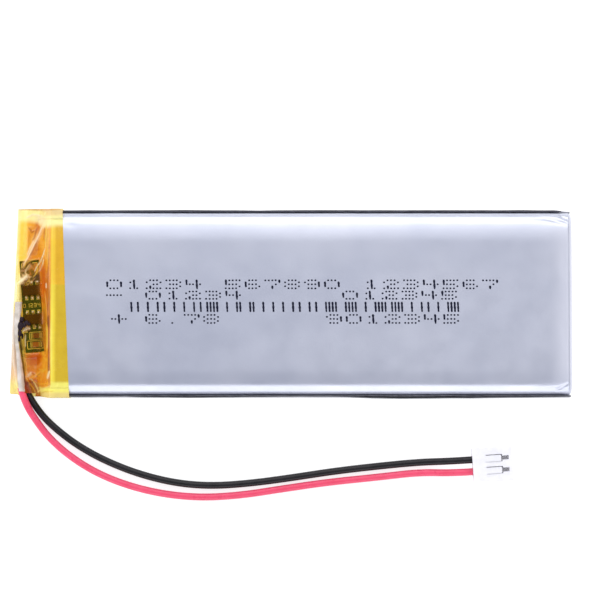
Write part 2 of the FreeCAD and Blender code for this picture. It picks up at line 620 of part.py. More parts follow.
for colour, pts, s, pad_xy in (("red", RED, -1, red_pad), ("black", BLACK, 1, black_pad)):
    v = s * size("plug_pitch") / 2
    way_in = in_plug(-6.6, v, mid)
    end = in_plug(-2.2, v, mid)
    pts = pts + [tuple(way_in), tuple(end)]
    wire, radii = route(pts)
    length = wire.Length
    jacket = tube(wire, lead_r, pts).cut(tube(wire, core_r + size("core_clearance"), pts))
    obj = doc.addObject("Part::Feature", colour + "_lead")
    obj.Shape = jacket
    obj.Placement = Placement()
    want = math.pi * (lead_r ** 2 - (core_r + size("core_clearance")) ** 2) * length
    print("%s lead: length %.2f mm, volume %.3f of %.3f mm3" % (colour, length, jacket.Volume, want))
    print("  radii " + ", ".join("%.1f" % r for r in radii[1:-1]))
    # the core: out of the jacket to its pad on the board, and on into the crimp
    first, second = Vector(*pts[0]), Vector(*pts[1])
    back = (first - second).normalize()
    target = board_pos + turn.multVec(Vector(pad_xy[0], pad_xy[1], size("board_thickness") + 0.34))
    if colour == "red":
        bends = [first + back * 2.9]
        bend_radii = [1.0]
    else:
        # off its pad, over the board's edge and down beneath the red lead
        bends = [Vector(-45.5, -4.42, target.z), first + back * 0.9]
        bend_radii = [0.4, 0.8]
    core_pts = [tuple(target)] + [tuple(b) for b in bends] + pts[1:-1] + [tuple(in_plug(-0.85, v, mid))]
    core_radii = [None] + bend_radii + radii[1:]
    core_wire, _ = route(core_pts, core_radii)
    core = tube(core_wire, core_r, core_pts)
    obj = doc.addObject("Part::Feature", colour + "_conductor")
    obj.Shape = core
    obj.Placement = Placement()
    print("  core volume %.3f of %.3f mm3" % (core.Volume, math.pi * core_r ** 2 * core_wire.Length))

# solder over the two core ends: a low cone with the core end let into it
joints = []
for label, xy, r_low, r_high, tall in (("red", red_pad, 0.48, 0.36, 0.62), ("black", black_pad, 0.29, 0.25, 0.5)):
    cone = prim("Part::Cone", label + "_solder_cone", Radius1=(r_low,), Radius2=(r_high,), Height=(tall,))
    at = board_pos + turn.multVec(Vector(xy[0], xy[1], size("board_thickness") + size("pad_thickness")))
    cone.Placement = Placement(at, turn)
    joints.append(cone)
doc.recompute()
raw = doc.addObject("Part::Compound", "solder_raw")
raw.Links = joints
cores = []
for colour in ("red", "black"):
    cores.append([o for o in doc.Objects if o.Label == colour + "_conductor"][0])
both = doc.addObject("Part::Compound", "cores_pair")
both.Links = cores
solder = doc.addObject("Part::Cut", "solder_joints")
solder.Base, solder.Tool = raw, both

# ================================================================ white strip over the leads
strip = prim("Part::Box", "lead_cover_strip", Height=(0.1,))
strip.Length, strip.Width = 1.2, 14.7
strip.Placement = Placement(Vector(-46.36, -14.5, 3.11), Rotation(Vector(0, 0, 1), 1.55).multiply(
    Rotation(Vector(0, 1, 0), -8.5)))

# ================================================================ tape round the tab end
tape_t = size("tape_thickness")
half_out = out + tape_t
SKIN = [(-38.0 + 1.0, 5.0 + tape_t), (-40.65, 5.0 + tape_t), (-41.05, 4.82), (-41.6, 4.2), (-42.4, 3.62),
        (-43.6, 3.42), (-45.0, 3.28), (-46.2, 3.1), (-48.0, 2.8)]


def slab(points, y):
    """Prism along Y between -y and y over an XZ outline."""
    loop = [Vector(x, -y, z) for x, z in points]
    return Part.Face(Part.makePolygon(loop + [loop[0]])).extrude(Vector(0, 2 * y, 0))


def section(y, z_top, side_top, shoulder_in, z_low):
    """Prism along X over the outline across the cell, with its two sloped shoulders."""
    pts = [(-y, z_low), (y, z_low), (y, side_top), (y - shoulder_in, z_top), (-y + shoulder_in, z_top), (-y, side_top)]
    loop = [Vector(-49, a, b) for a, b in pts]
    return Part.Face(Part.makePolygon(loop + [loop[0]])).extrude(Vector(14, 0, 0))


outer = slab([(-48.0, 0)] + [(-37.0, 0)] + SKIN, half_out).common(
    section(half_out, 5.0 + tape_t, 4.46, 1.45, 0.0))
inner_skin = [(x + 0.0, z - tape_t) for x, z in SKIN]
inner = slab([(-48.6, tape_t), (-36.5, tape_t), (-36.5, inner_skin[0][1])] + inner_skin + [(-48.6, inner_skin[-1][1])], out).common(
    section(out, 5.0, 4.43, 1.42, tape_t).fuse(Part.makeBox(20, 0.001, 0.001, Vector(-50, 40, 0))).Solids[0])
belt = outer.cut(inner)
trim = [Vector(skew("left", -17), -17, -1), Vector(skew("right", -17), -17, -1),
        Vector(skew("right", 17), 17, -1), Vector(skew("left", 17), 17, -1)]
belt = belt.common(Part.Face(Part.makePolygon(trim + [trim[0]])).extrude(Vector(0, 0, 8)))
# mouth at the front left corner where the leads come out
belt = belt.cut(Part.makeBox(5.8, 2.0, 2.52, Vector(-48.8, -16.6, 0.08)))
tape = doc.addObject("Part::Feature", "tape_wrap")
tape.Shape = belt
tape.Placement = Placement()

doc.recompute()

# ================================================================ checks and export
NODES = ["pouch_cup", "pouch_cover", "positive_electrode", "negative_electrode", "separator_inner",
         "separator_outer", "winding_stop_tape", "positive_tab", "negative_tab", "positive_tab_film",
         "negative_tab_film", "terrace_insulation", "circuit_board", "board_pads", "mosfet_body",
         "mosfet_leads", "protection_ic_body", "protection_ic_leads", "resistor_body", "resistor_caps",
         "capacitor_body", "capacitor_caps", "positive_link_strip", "negative_link_strip",
         "solder_joints", "lead_cover_strip", "tape_wrap", "red_lead", "black_lead", "red_conductor",
         "black_conductor", "plug_housing", "positive_contact", "negative_contact"]
for o in doc.Objects:
    if "Invalid" in o.State or "Error" in o.State:
        raise RuntimeError("%s failed: %s" % (o.Label, o.State))
by_label = {}
for o in doc.Objects:
    by_label.setdefault(o.Label, o)
for name in NODES:
    shape = by_label[name].Shape
    if shape.isNull() or not shape.isValid() or not shape.Solids:
        raise RuntimeError("%s has no valid solid" % name)
for name in NODES:
    shape = by_label[name].Shape
    shape.exportStep("parts/%s.step" % name)
    b = shape.BoundBox
    print("%-22s solids %d  x %.2f %.2f  y %.2f %.2f  z %.3f %.3f" % (
        name, len(shape.Solids), b.XMin, b.XMax, b.YMin, b.YMax, b.ZMin, b.ZMax))
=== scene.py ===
import math
import random
import bpy
import numpy as np
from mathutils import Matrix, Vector, noise


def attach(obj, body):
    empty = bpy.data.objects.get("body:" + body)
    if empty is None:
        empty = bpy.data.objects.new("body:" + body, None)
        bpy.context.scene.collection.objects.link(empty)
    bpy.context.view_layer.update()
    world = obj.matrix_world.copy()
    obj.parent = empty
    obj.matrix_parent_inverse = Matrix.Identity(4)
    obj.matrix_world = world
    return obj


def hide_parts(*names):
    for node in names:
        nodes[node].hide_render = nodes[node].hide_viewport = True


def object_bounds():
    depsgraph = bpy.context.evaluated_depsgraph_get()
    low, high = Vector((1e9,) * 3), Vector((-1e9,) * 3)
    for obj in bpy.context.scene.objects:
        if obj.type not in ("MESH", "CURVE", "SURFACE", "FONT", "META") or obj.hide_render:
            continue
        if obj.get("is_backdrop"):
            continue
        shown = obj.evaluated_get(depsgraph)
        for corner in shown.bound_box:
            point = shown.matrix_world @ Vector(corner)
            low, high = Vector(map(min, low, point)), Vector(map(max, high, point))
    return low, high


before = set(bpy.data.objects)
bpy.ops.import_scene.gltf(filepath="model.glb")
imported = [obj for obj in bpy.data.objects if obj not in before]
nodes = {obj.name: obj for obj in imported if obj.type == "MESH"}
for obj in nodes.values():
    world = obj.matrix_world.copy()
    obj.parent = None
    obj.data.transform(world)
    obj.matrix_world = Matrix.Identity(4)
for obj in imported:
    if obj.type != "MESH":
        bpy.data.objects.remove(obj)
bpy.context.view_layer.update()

MM = 0.001
scene = bpy.context.scene


# ------------------------------------------------------------------ small helpers
def smooth(a, b, x):
    """0 below a, 1 above b, smooth between."""
    t = min(1.0, max(0.0, (x - a) / (b - a)))
    return t * t * (3 - 2 * t)


def wave(x, y, z, size, seed=0.0):
    """Smooth noise from -1 to 1 with features of about size, in the same unit as x, y and z."""
    return noise.noise(Vector((x / size + seed, y / size - seed, z / size + 2 * seed)))


def mesh_object(name, verts, faces, material, smooth_faces=True):
    """A mesh from points in millimetres."""
    me = bpy.data.meshes.new(name)
    me.from_pydata([(x * MM, y * MM, z * MM) for x, y, z in verts], [], faces)
    me.validate()
    me.update()
    ob = bpy.data.objects.new(name, me)
    scene.collection.objects.link(ob)
    me.materials.append(material)
    me.polygons.foreach_set("use_smooth", [smooth_faces] * len(me.polygons))
    me.update()
    return ob


def grid_faces(nu, nv, start=0, wrap_v=False):
    """Quads of a grid whose points are stored row by row: index = u * nv + v."""
    out = []
    for u in range(nu - 1):
        for v in range(nv if wrap_v else nv - 1):
            w = (v + 1) % nv
            out.append((start + u * nv + v, start + (u + 1) * nv + v, start + (u + 1) * nv + w, start + u * nv + w))
    return out


def weld(ob, dist=0.00002):
    import bmesh
    bm = bmesh.new()
    bm.from_mesh(ob.data)
    bmesh.ops.remove_doubles(bm, verts=bm.verts, dist=dist)
    bmesh.ops.recalc_face_normals(bm, faces=bm.faces)
    bm.to_mesh(ob.data)
    bm.free()
    ob.data.update()
    return ob


# ------------------------------------------------------------------ materials
def new_material(name):
    m = bpy.data.materials.new(name)
    m.use_nodes = True
    nt = m.node_tree
    nt.nodes.clear()
    out = nt.nodes.new("ShaderNodeOutputMaterial")
    p = nt.nodes.new("ShaderNodeBsdfPrincipled")
    nt.links.new(p.outputs[0], out.inputs["Surface"])
    return m, nt, p, out


def coords(nt):
    t = nt.nodes.new("ShaderNodeTexCoord")
    return t.outputs["Object"]


def noise_node(nt, where, scale, detail=3.0, rough=0.5):
    n = nt.nodes.new("ShaderNodeTexNoise")
    n.inputs["Scale"].default_value = scale
    n.inputs["Detail"].default_value = detail
    n.inputs["Roughness"].default_value = rough
    nt.links.new(where, n.inputs["Vector"])
    return n.outputs["Fac"]


def ramp(nt, fac, low, high, a, b):
    """Colour a below low, colour b above high."""
    r = nt.nodes.new("ShaderNodeValToRGB")
    r.color_ramp.elements[0].position = low
    r.color_ramp.elements[1].position = high
    r.color_ramp.elements[0].color = (*a, 1)
    r.color_ramp.elements[1].color = (*b, 1)
    nt.links.new(fac, r.inputs["Fac"])
    return r.outputs["Color"]


def remap(nt, fac, a, b, low, high):
    r = nt.nodes.new("ShaderNodeMapRange")
    r.inputs["From Min"].default_value = a
    r.inputs["From Max"].default_value = b
    r.inputs["To Min"].default_value = low
    r.inputs["To Max"].default_value = high
    nt.links.new(fac, r.inputs["Value"])
    return r.outputs["Result"]


def mix_colour(nt, fac, a, b, mode="MIX"):
    m = nt.nodes.new("ShaderNodeMix")
    m.data_type = "RGBA"
    m.blend_type = mode
    for sock, val in ((m.inputs["Factor"], fac), (m.inputs["A"], a), (m.inputs["B"], b)):
        pass
    fa = [s for s in m.inputs if s.name == "Factor" and s.type == "VALUE"][0]
    ia = [s for s in m.inputs if s.name == "A" and s.type == "RGBA"][0]
    ib = [s for s in m.inputs if s.name == "B" and s.type == "RGBA"][0]
    for sock, val in ((fa, fac), (ia, a), (ib, b)):
        if hasattr(val, "is_linked"):
            nt.links.new(val, sock)
        elif isinstance(val, (int, float)):
            sock.default_value = val
        else:
            sock.default_value = (*val, 1)
    return [s for s in m.outputs if s.type == "RGBA"][0]


def bump(nt, p, height, distance, strength=1.0, below=None):
    b = nt.nodes.new("ShaderNodeBump")
    b.inputs["Strength"].default_value = strength
    b.inputs["Distance"].default_value = distance
    nt.links.new(height, b.inputs["Height"])
    if below is not None:
        nt.links.new(below, b.inputs["Normal"])
    if p is not None:
        nt.links.new(b.outputs["Normal"], p.inputs["Normal"])
    return b.outputs["Normal"]


def plain(name, a, b, rough=(0.3, 0.45), metal=0.0, colour_size=1.5, grain=0.15, depth=0.006,
          coat=0.0, specular=0.5, subsurface=0.0, wear=None):
    """Two close shades in patches of colour_size mm, uneven roughness and a fine grain of grain mm."""
    m, nt, p, out = new_material(name)
    where = coords(nt)
    patches = noise_node(nt, where, 1000.0 / colour_size, 4.0, 0.55)
    colour = ramp(nt, patches, 0.35, 0.65, a, b)
    if wear is not None:
        # paler or darker where edges have rubbed
        g = nt.nodes.new("ShaderNodeNewGeometry")
        edge = remap(nt, g.outputs["Pointiness"], 0.505, 0.56, 0.0, 0.6)
        colour = mix_colour(nt, edge, colour, wear)
    nt.links.new(colour, p.inputs["Base Color"])
    r = noise_node(nt, where, 1000.0 / (colour_size * 0.6), 3.0)
    nt.links.new(remap(nt, r, 0.3, 0.7, rough[0], rough[1]), p.inputs["Roughness"])
    p.inputs["Metallic"].default_value = metal
    p.inputs["Coat Weight"].default_value = coat
    p.inputs["Specular IOR Level"].default_value = specular
    if subsurface:
        p.inputs["Subsurface Weight"].default_value = subsurface
        p.inputs["Subsurface Radius"].default_value = (1.0, 1.0, 1.0)
        p.inputs["Subsurface Scale"].default_value = 0.0006
    f = noise_node(nt, where, 1000.0 / grain, 3.0, 0.6)
    bump(nt, p, f, depth * MM)
    return m


def laminate(name, dark=False):
    """Nylon-faced aluminium laminate: satin, with a faint rolled grain and soft mottling."""
    m, nt, p, out = new_material(name)
    where = coords(nt)
    stretch = nt.nodes.new("ShaderNodeMapping")
    stretch.inputs["Scale"].default_value = (0.12, 1.0, 1.0)
    nt.links.new(where, stretch.inputs["Vector"])
    mottle = noise_node(nt, where, 70.0, 3.0)
    # dark gives a darker copy of the same laminate for the folded seals: painted shade
    a, b = ((0.60, 0.62, 0.71), (0.66, 0.675, 0.755)) if not dark else ((0.44, 0.44, 0.48), (0.54, 0.54, 0.58))
    nt.links.new(ramp(nt, mottle, 0.35, 0.65, a, b), p.inputs["Base Color"])
    p.inputs["Metallic"].default_value = 0.92
    grain = noise_node(nt, stretch.outputs["Vector"], 2600.0, 3.0, 0.6)
    blot = noise_node(nt, where, 240.0, 2.0)
    nt.links.new(remap(nt, blot, 0.3, 0.7, 0.31, 0.39), p.inputs["Roughness"])
    p.inputs["Coat Weight"].default_value = 0.25
    p.inputs["Coat Roughness"].default_value = 0.3
    first = bump(nt, None, noise_node(nt, where, 160.0, 2.0), 0.00003, 0.6)
    bump(nt, p, grain, 0.0000016, 0.8, below=first)
    return m


M_LAMINATE = laminate("laminate")
# the folded seals' laminate, darker than the pouch's: painted shade
M_SEAL = laminate("laminate_seal_painted_shade", dark=True)
# The three materials below darken the tops of the folded seals: painted shade for the dark line between each fold and
# the wall.
M_EDGE = plain("laminate_edge_painted_shade", (0.035, 0.034, 0.042), (0.09, 0.088, 0.1), (0.4, 0.6), metal=0.3,
               colour_size=0.8, grain=0.1, depth=0.01)
M_EDGE_FRONT = plain("laminate_edge_front_painted_shade", (0.05, 0.05, 0.057), (0.21, 0.21, 0.225), (0.4, 0.6), metal=0.3,
                     colour_size=14.0, grain=0.1, depth=0.01)
M_RIM = plain("laminate_rim_painted_shade", (0.12, 0.12, 0.14), (0.22, 0.22, 0.25), (0.4, 0.6), metal=0.5, colour_size=0.9, grain=0.1)
M_INK = plain("marking_ink", (0.004, 0.005, 0.018), (0.010, 0.012, 0.032), (0.6, 0.8), colour_size=0.3, grain=0.08,
              specular=0.15)
M_BOARD = plain("solder_resist", (0.008, 0.048, 0.012), (0.022, 0.10, 0.022), (0.22, 0.34), colour_size=0.7,
                grain=0.35, depth=0.012, coat=0.3)
M_BOARD_EDGE = plain("board_glass", (0.32, 0.3, 0.14), (0.42, 0.4, 0.2), (0.5, 0.7), colour_size=0.4, grain=0.1)
M_CHIP = plain("moulded_epoxy", (0.010, 0.005, 0.004), (0.030, 0.012, 0.008), (0.5, 0.66), colour_size=0.5,
               grain=0.06, depth=0.006, specular=0.12, wear=(0.05, 0.03, 0.02))
M_TIN = plain("bright_tin", (0.78, 0.77, 0.74), (0.88, 0.87, 0.84), (0.32, 0.46), metal=1.0, colour_size=0.4,
              grain=0.12, depth=0.006)
M_PIN = plain("tinned_pin", (0.30, 0.24, 0.14), (0.50, 0.42, 0.26), (0.36, 0.5), metal=1.0, colour_size=0.25,
              grain=0.08, depth=0.006)
M_CONTACT = plain("tinned_contact", (0.86, 0.85, 0.84), (0.95, 0.94, 0.93), (0.5, 0.62), metal=0.75, colour_size=0.5,
                  grain=0.12, depth=0.004)
M_SOLDER = plain("solder", (0.6, 0.59, 0.56), (0.8, 0.79, 0.76), (0.16, 0.4), metal=1.0, colour_size=0.3,
                 grain=0.2, depth=0.02)
M_NICKEL = plain("nickel_strip", (0.6, 0.58, 0.53), (0.7, 0.68, 0.63), (0.25, 0.4), metal=1.0, colour_size=0.8,
                 grain=0.1, depth=0.005)
M_ALU = plain("rolled_aluminium", (0.76, 0.77, 0.79), (0.84, 0.85, 0.86), (0.25, 0.4), metal=1.0, colour_size=1.0,
              grain=0.1, depth=0.004)
M_COPPER = plain("graphite_coated_copper", (0.05, 0.045, 0.045), (0.09, 0.08, 0.075), (0.5, 0.7), colour_size=1.0)
M_CATHODE = plain("oxide_coated_foil", (0.03, 0.03, 0.035), (0.06, 0.06, 0.065), (0.5, 0.7), colour_size=1.0)
M_SEPARATOR = plain("porous_film", (0.84, 0.84, 0.84), (0.93, 0.93, 0.93), (0.4, 0.6), colour_size=2.0)
M_SEALANT = plain("tab_sealant", (0.75, 0.78, 0.82), (0.86, 0.88, 0.9), (0.3, 0.5), colour_size=0.8)
M_STOP = plain("winding_tape", (0.1, 0.35, 0.14), (0.16, 0.45, 0.2), (0.3, 0.5), colour_size=1.2)
M_CERAMIC = plain("capacitor_ceramic", (0.22, 0.075, 0.035), (0.32, 0.12, 0.06), (0.35, 0.5), colour_size=0.3,
                  grain=0.08)
M_RESISTOR = plain("resistor_glaze", (0.10, 0.035, 0.02), (0.20, 0.075, 0.04), (0.2, 0.35), colour_size=0.3)
M_INSULATION = plain("terrace_amber", (0.62, 0.16, 0.008), (0.74, 0.24, 0.012), (0.2, 0.4), colour_size=1.6,
                     grain=0.5, depth=0.02, coat=0.3)
# Both shades are greyer than the strip's white: painted shade.
M_STRIP = plain("white_strip", (0.52, 0.46, 0.38), (0.78, 0.70, 0.63), (0.45, 0.65), colour_size=1.6, grain=0.12,
                depth=0.02)
M_SILK = plain("board_print", (0.86, 0.78, 0.6), (0.95, 0.9, 0.74), (0.5, 0.7), colour_size=0.3, grain=0.08)
M_NYLON = plain("white_nylon", (0.86, 0.845, 0.88), (0.92, 0.905, 0.93), (0.36, 0.5), colour_size=1.4, grain=0.16,
                depth=0.006, subsurface=0.4)
M_RED = plain("red_insulation", (0.82, 0.055, 0.13), (0.88, 0.075, 0.165), (0.26, 0.36), colour_size=2.4, grain=0.3,
              depth=0.006, coat=0.15)
M_BLACK = plain("black_insulation", (0.006, 0.005, 0.006), (0.014, 0.012, 0.014), (0.2, 0.3), colour_size=2.0,
                grain=0.3, depth=0.006, specular=0.32)


def amber_film():
    """Polyimide tape: a clear amber film that scatters a little, more where it is doubled.
    The layer attribute holds how solid the film looks, and the colour attribute its colour, into which highlights and
    shade are painted."""
    m, nt, p, out = new_material("amber_film")
    where = coords(nt)
    tint_with_painted_light = nt.nodes.new("ShaderNodeAttribute")
    tint_with_painted_light.attribute_name = "tint_with_painted_light"
    layer = nt.nodes.new("ShaderNodeAttribute")
    layer.attribute_name = "layer"
    n = noise_node(nt, where, 900.0, 3.0)
    shade = ramp(nt, n, 0.3, 0.7, (0.93, 0.91, 0.88), (1.0, 1.0, 1.0))
    nt.links.new(mix_colour(nt, 1.0, tint_with_painted_light.outputs["Color"], shade, "MULTIPLY"), p.inputs["Base Color"])
    r = noise_node(nt, where, 500.0, 2.0)
    nt.links.new(remap(nt, r, 0.3, 0.7, 0.12, 0.28), p.inputs["Roughness"])
    p.inputs["Specular IOR Level"].default_value = 0.5
    p.inputs["Coat Weight"].default_value = 0.1
    p.inputs["Coat Roughness"].default_value = 0.1
    first = bump(nt, None, noise_node(nt, where, 420.0, 2.0), 0.00005, 0.8)
    bump(nt, p, noise_node(nt, where, 1900.0, 3.0), 0.000012, 0.7, below=first)
    clear = nt.nodes.new("ShaderNodeBsdfTransparent")
    clear.inputs["Color"].default_value = (0.985, 0.83, 0.30, 1)
    mix = nt.nodes.new("ShaderNodeMixShader")
    nt.links.new(layer.outputs["Fac"], mix.inputs[0])
    nt.links.new(clear.outputs[0], mix.inputs[1])
    nt.links.new(p.outputs[0], mix.inputs[2])
    nt.links.new(mix.outputs[0], out.inputs["Surface"])
    return m


M_TAPE = amber_film()

# ------------------------------------------------------------------ camera and light
cam_data = bpy.data.cameras.new("camera")
cam = bpy.data.objects.new("camera", cam_data)
scene.collection.objects.link(cam)
scene.camera = cam
cam_data.lens = 200.0
cam_data.sensor_width = 36.0
cam_data.clip_start = 0.02
cam_data.clip_end = 20.0
TILT = math.radians(3.5)
AIM = Vector((1.0, 0.54, 5.0)) * MM
DIST = 0.5556
cam.location = AIM + Vector((0, -math.sin(TILT), math.cos(TILT))) * DIST
cam.rotation_euler = (TILT, 0, 0)

world = bpy.data.worlds.new("studio")
scene.world = world
world.use_nodes = True
bg = world.node_tree.nodes["Background"]
bg.inputs["Color"].default_value = (0.845, 0.885, 1.02, 1)
bg.inputs["Strength"].default_value = 0.545
scene.view_settings.view_transform = "Standard"
scene.view_settings.look = "None"
scene.view_settings.exposure = 0.0
scene.view_settings.gamma = 1.0


def softbox(name, place, aim, width, height, radiance, colour=(1, 1, 1)):
    d = bpy.data.lights.new(name, "AREA")
    d.shape = "RECTANGLE"
    d.size, d.size_y = width, height
    d.energy = radiance * math.pi * width * height
    d.color = colour
    o = bpy.data.objects.new(name, d)
    scene.collection.objects.link(o)
    o.location = place
    o.rotation_euler = (Vector(aim) - Vector(place)).to_track_quat("-Z", "Y").to_euler()
    return o


softbox("soft_top", (-0.01, 0.225, 0.60), (0, 0.02, 0), 0.2, 0.27, 1.0)
softbox("soft_back", (0.0, 0.52, 0.40), (0, 0, 0), 1.1, 0.5, 1.55)
softbox("soft_front", (0.0, -0.60, 0.34), (0, 0, 0), 1.1, 0.45, 1.3)
softbox("soft_left", (-0.62, 0.0, 0.34), (0, 0, 0), 0.8, 0.45, 1.4)
softbox("soft_right", (0.60, 0.0, 0.42), (0, 0, 0), 0.9, 0.34, 0.45, (1.0, 0.97, 0.93))
softbox("soft_right_high", (0.36, 0.0, 0.62), (0.03, 0, 0), 0.9, 0.30, 0.62, (1.0, 0.97, 0.93))

me = bpy.data.meshes.new("floor")
me.from_pydata([(-3, -3, 0), (3, -3, 0), (3, 3, 0), (-3, 3, 0)], [], [(0, 1, 2, 3)])
floor = bpy.data.objects.new("floor", me)
floor.location = (0, 0, -0.00005)
scene.collection.objects.link(floor)
fm, fnt, fp, fout = new_material("pale_floor")
fp.inputs["Base Color"].default_value = (0.46, 0.46, 0.46, 1)
fp.inputs["Emission Color"].default_value = (1, 1, 1, 1)
fp.inputs["Emission Strength"].default_value = 0.74
fp.inputs["Roughness"].default_value = 0.9
fp.inputs["Specular IOR Level"].default_value = 0.1
me.materials.append(fm)
floor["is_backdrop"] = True

# ------------------------------------------------------------------ pouch, drawn half
X0, X1 = -40.5, 46.5          # step at the tab end, folded end
HY = 15.3                     # half width of the draw
ZT = 5.0                      # top face


def samples(low, high, fine_low, fine_high, step, fine):
    """Positions from low to high: fine steps near the ends and coarser between."""
    out = list(np.arange(low, low + fine_low, fine))
    mid_low, mid_high = low + fine_low, high - fine_high
    n = max(1, int(round((mid_high - mid_low) / step)))
    out += list(np.linspace(mid_low, mid_high, n + 1))
    out += list(np.arange(mid_high, high, fine))[1:] + [high]
    return out


def cap_point(x, y, z):
    """Moves a point of the plain box onto the drawn form: rounded shoulders and corners."""
    rx = 1.1 if x < 0 else 0.85
    ry, rz = 2.05, 1.75 if x < 0 else 1.9
    if x > 0:
        k = smooth(38.0, 46.0, x)
        ry = 2.05 + 0.35 * k
    rz = 1.75
    cx = min(max(x, X0 + rx), X1 - rx)
    cy = min(max(y, -HY + ry), HY - ry)
    cz = min(z, ZT - rz)
    dx, dy, dz = (x - cx) / rx, (y - cy) / ry, (z - cz) / rz
    plan = (abs(dx) ** 3.2 + abs(dy) ** 3.2) ** (1 / 3.2)
    n = math.sqrt(plan * plan + dz * dz)
    if n < 1e-9:
        return x, y, z
    return cx + dx / n * rx, cy + dy / n * ry, cz + dz / n * rz


def crease(x, y, ax, ay, bx, by, width):
    """1 on the line from a to b, fading to 0 to its sides and at its ends."""
    ux, uy = bx - ax, by - ay
    length = math.hypot(ux, uy)
    t = ((x - ax) * ux + (y - ay) * uy) / (length * length)
    d = ((x - ax) * uy - (y - ay) * ux) / length
    if t < -0.15 or t > 1.15:
        return 0.0
    ends = smooth(-0.15, 0.25, t) * (1 - smooth(0.75, 1.15, t))
    return math.exp(-(d / width) ** 2) * ends


CREASES = [  # the gathered corners of the folded end, and a few soft dents
    (41.6, 14.3, 45.4, 13.3, 0.26, -0.13), (43.4, 14.6, 46.0, 13.4, 0.2, 0.08),
    (38.6, 13.9, 42.6, 13.7, 0.3, 0.03), (44.0, 14.9, 46.0, 14.0, 0.16, -0.05),
    (43.6, -14.5, 46.0, -13.2, 0.24, -0.10), (40.2, -14.1, 44.3, -13.7, 0.3, 0.03),
    (44.9, 9.0, 45.9, 3.0, 0.8, -0.02), (44.9, -3.0, 46.0, -8.5, 0.8, -0.02),
    (-38.9, 13.6, -36.4, 12.9, 0.5, -0.05), (-39.2, -13.4, -36.8, -12.7, 0.5, -0.05),
]


def top_lift(x, y):
    """Small waviness of the top face, in millimetres."""
    inside = smooth(X0, X0 + 4, x) * (1 - smooth(X1 - 4, X1, x)) * (1 - smooth(HY - 3.4, HY - 0.4, abs(y)))
    z = inside * (0.028 * wave(x, y, 0, 17.0, 3.1) + 0.012 * wave(x, y, 0, 6.0, 7.7))
    z += 0.03 * inside
    # the face rolls off gently before each shoulder
    first, span, drop = (10.3, 3.8, 0.50) if y > 0 else (11.1, 3.1, 0.40)
    z -= drop * min(1.0, max(0.0, (abs(y) - first) / span)) ** 2
    z -= 0.30 * min(1.0, max(0.0, (x - 42.4) / 3.6)) ** 2
    for ax, ay, bx, by, w, h in CREASES:
        z += h * crease(x, y, ax, ay, bx, by, w)
    return z


xs = samples(X0, X1, 1.6, 3.6, 0.55, 0.16)
ys = samples(-HY, HY, 2.9, 2.9, 0.42, 0.15)
zs = samples(0.15, ZT, 0.3, 2.2, 0.6, 0.14)
verts, faces = [], []
base = 0
for x in xs:
    for y in ys:
        verts.append((x, y, ZT))
faces += grid_faces(len(xs), len(ys))
base = len(verts)
for y in (-HY, HY):
    for x in xs:
        for z in zs:
            verts.append((x, y, z))
    faces += grid_faces(len(xs), len(zs), base)
    base = len(verts)
for x in (X0, X1):
    for y in ys:
        for z in zs:
            verts.append((x, y, z))
    faces += grid_faces(len(ys), len(zs), base)
    base = len(verts)
shaped = []
for x, y, z in verts:
    px, py, pz = cap_point(x, y, z)
    up = smooth(2.2, 4.4, pz)
    pz += up * top_lift(px, py)
    # walls: slightly hollow, and puckered a little along the long sides
    wall = 1 - smooth(2.6, 4.2, pz)
    side_k = smooth(HY - 0.9, HY - 0.1, abs(py))
    py -= math.copysign(side_k * wall * (0.05 + 0.04 * wave(px, 0, pz, 5.0, 1.3)), py)
    end_k = smooth(X1 - 1.6, X1 - 0.1, px)
    px -= end_k * wall * (0.06 + 0.05 * wave(0, py, pz, 4.0, 5.2))
    px -= end_k * 0.35 * (1 - smooth(0.1, 1.1, pz)) ** 2
    shaped.append((px, py, pz))
# one mesh with its seams welded, open on the seal plane
cup = mesh_object("pouch_drawn_half", shaped, faces, M_LAMINATE)
weld(cup, 0.00003)


def terrace_piece():
    """Terrace of the drawn half, with its two humps over the tabs."""
    tx = list(np.linspace(-44.8, -40.4, 24))
    ty = list(np.linspace(-13.2, 13.2, 132))
    v, f = [], []
    for layer in (0, 1):
        for x in tx:
            for y in ty:
                hump = 0.0
                for mid in (5.2, -6.2):
                    hump = max(hump, 1 - smooth(2.95, 3.35, abs(y - mid)))
                if layer:
                    z = 0.155 + 0.245 * hump
                else:
                    z = 0.30 + 0.25 * hump + 0.03 * wave(x, y, 0, 2.6, 9.0)
                v.append((x, y, z))
    n = len(tx) * len(ty)
    f += grid_faces(len(tx), len(ty))
    f += [tuple(reversed(q)) for q in grid_faces(len(tx), len(ty), n)]
    ring = [i for i in range(len(ty))] + [u * len(ty) + len(ty) - 1 for u in range(1, len(tx))] + \
        [(len(tx) - 1) * len(ty) + w for w in range(len(ty) - 2, -1, -1)] + [u * len(ty) for u in range(len(tx) - 2, 0, -1)]
    for a, b in zip(ring, ring[1:] + ring[:1]):
        f.append((a, b, b + n, a + n))
    return mesh_object("pouch_terrace", v, f, M_LAMINATE)


terrace = weld(terrace_piece(), 1e-7)


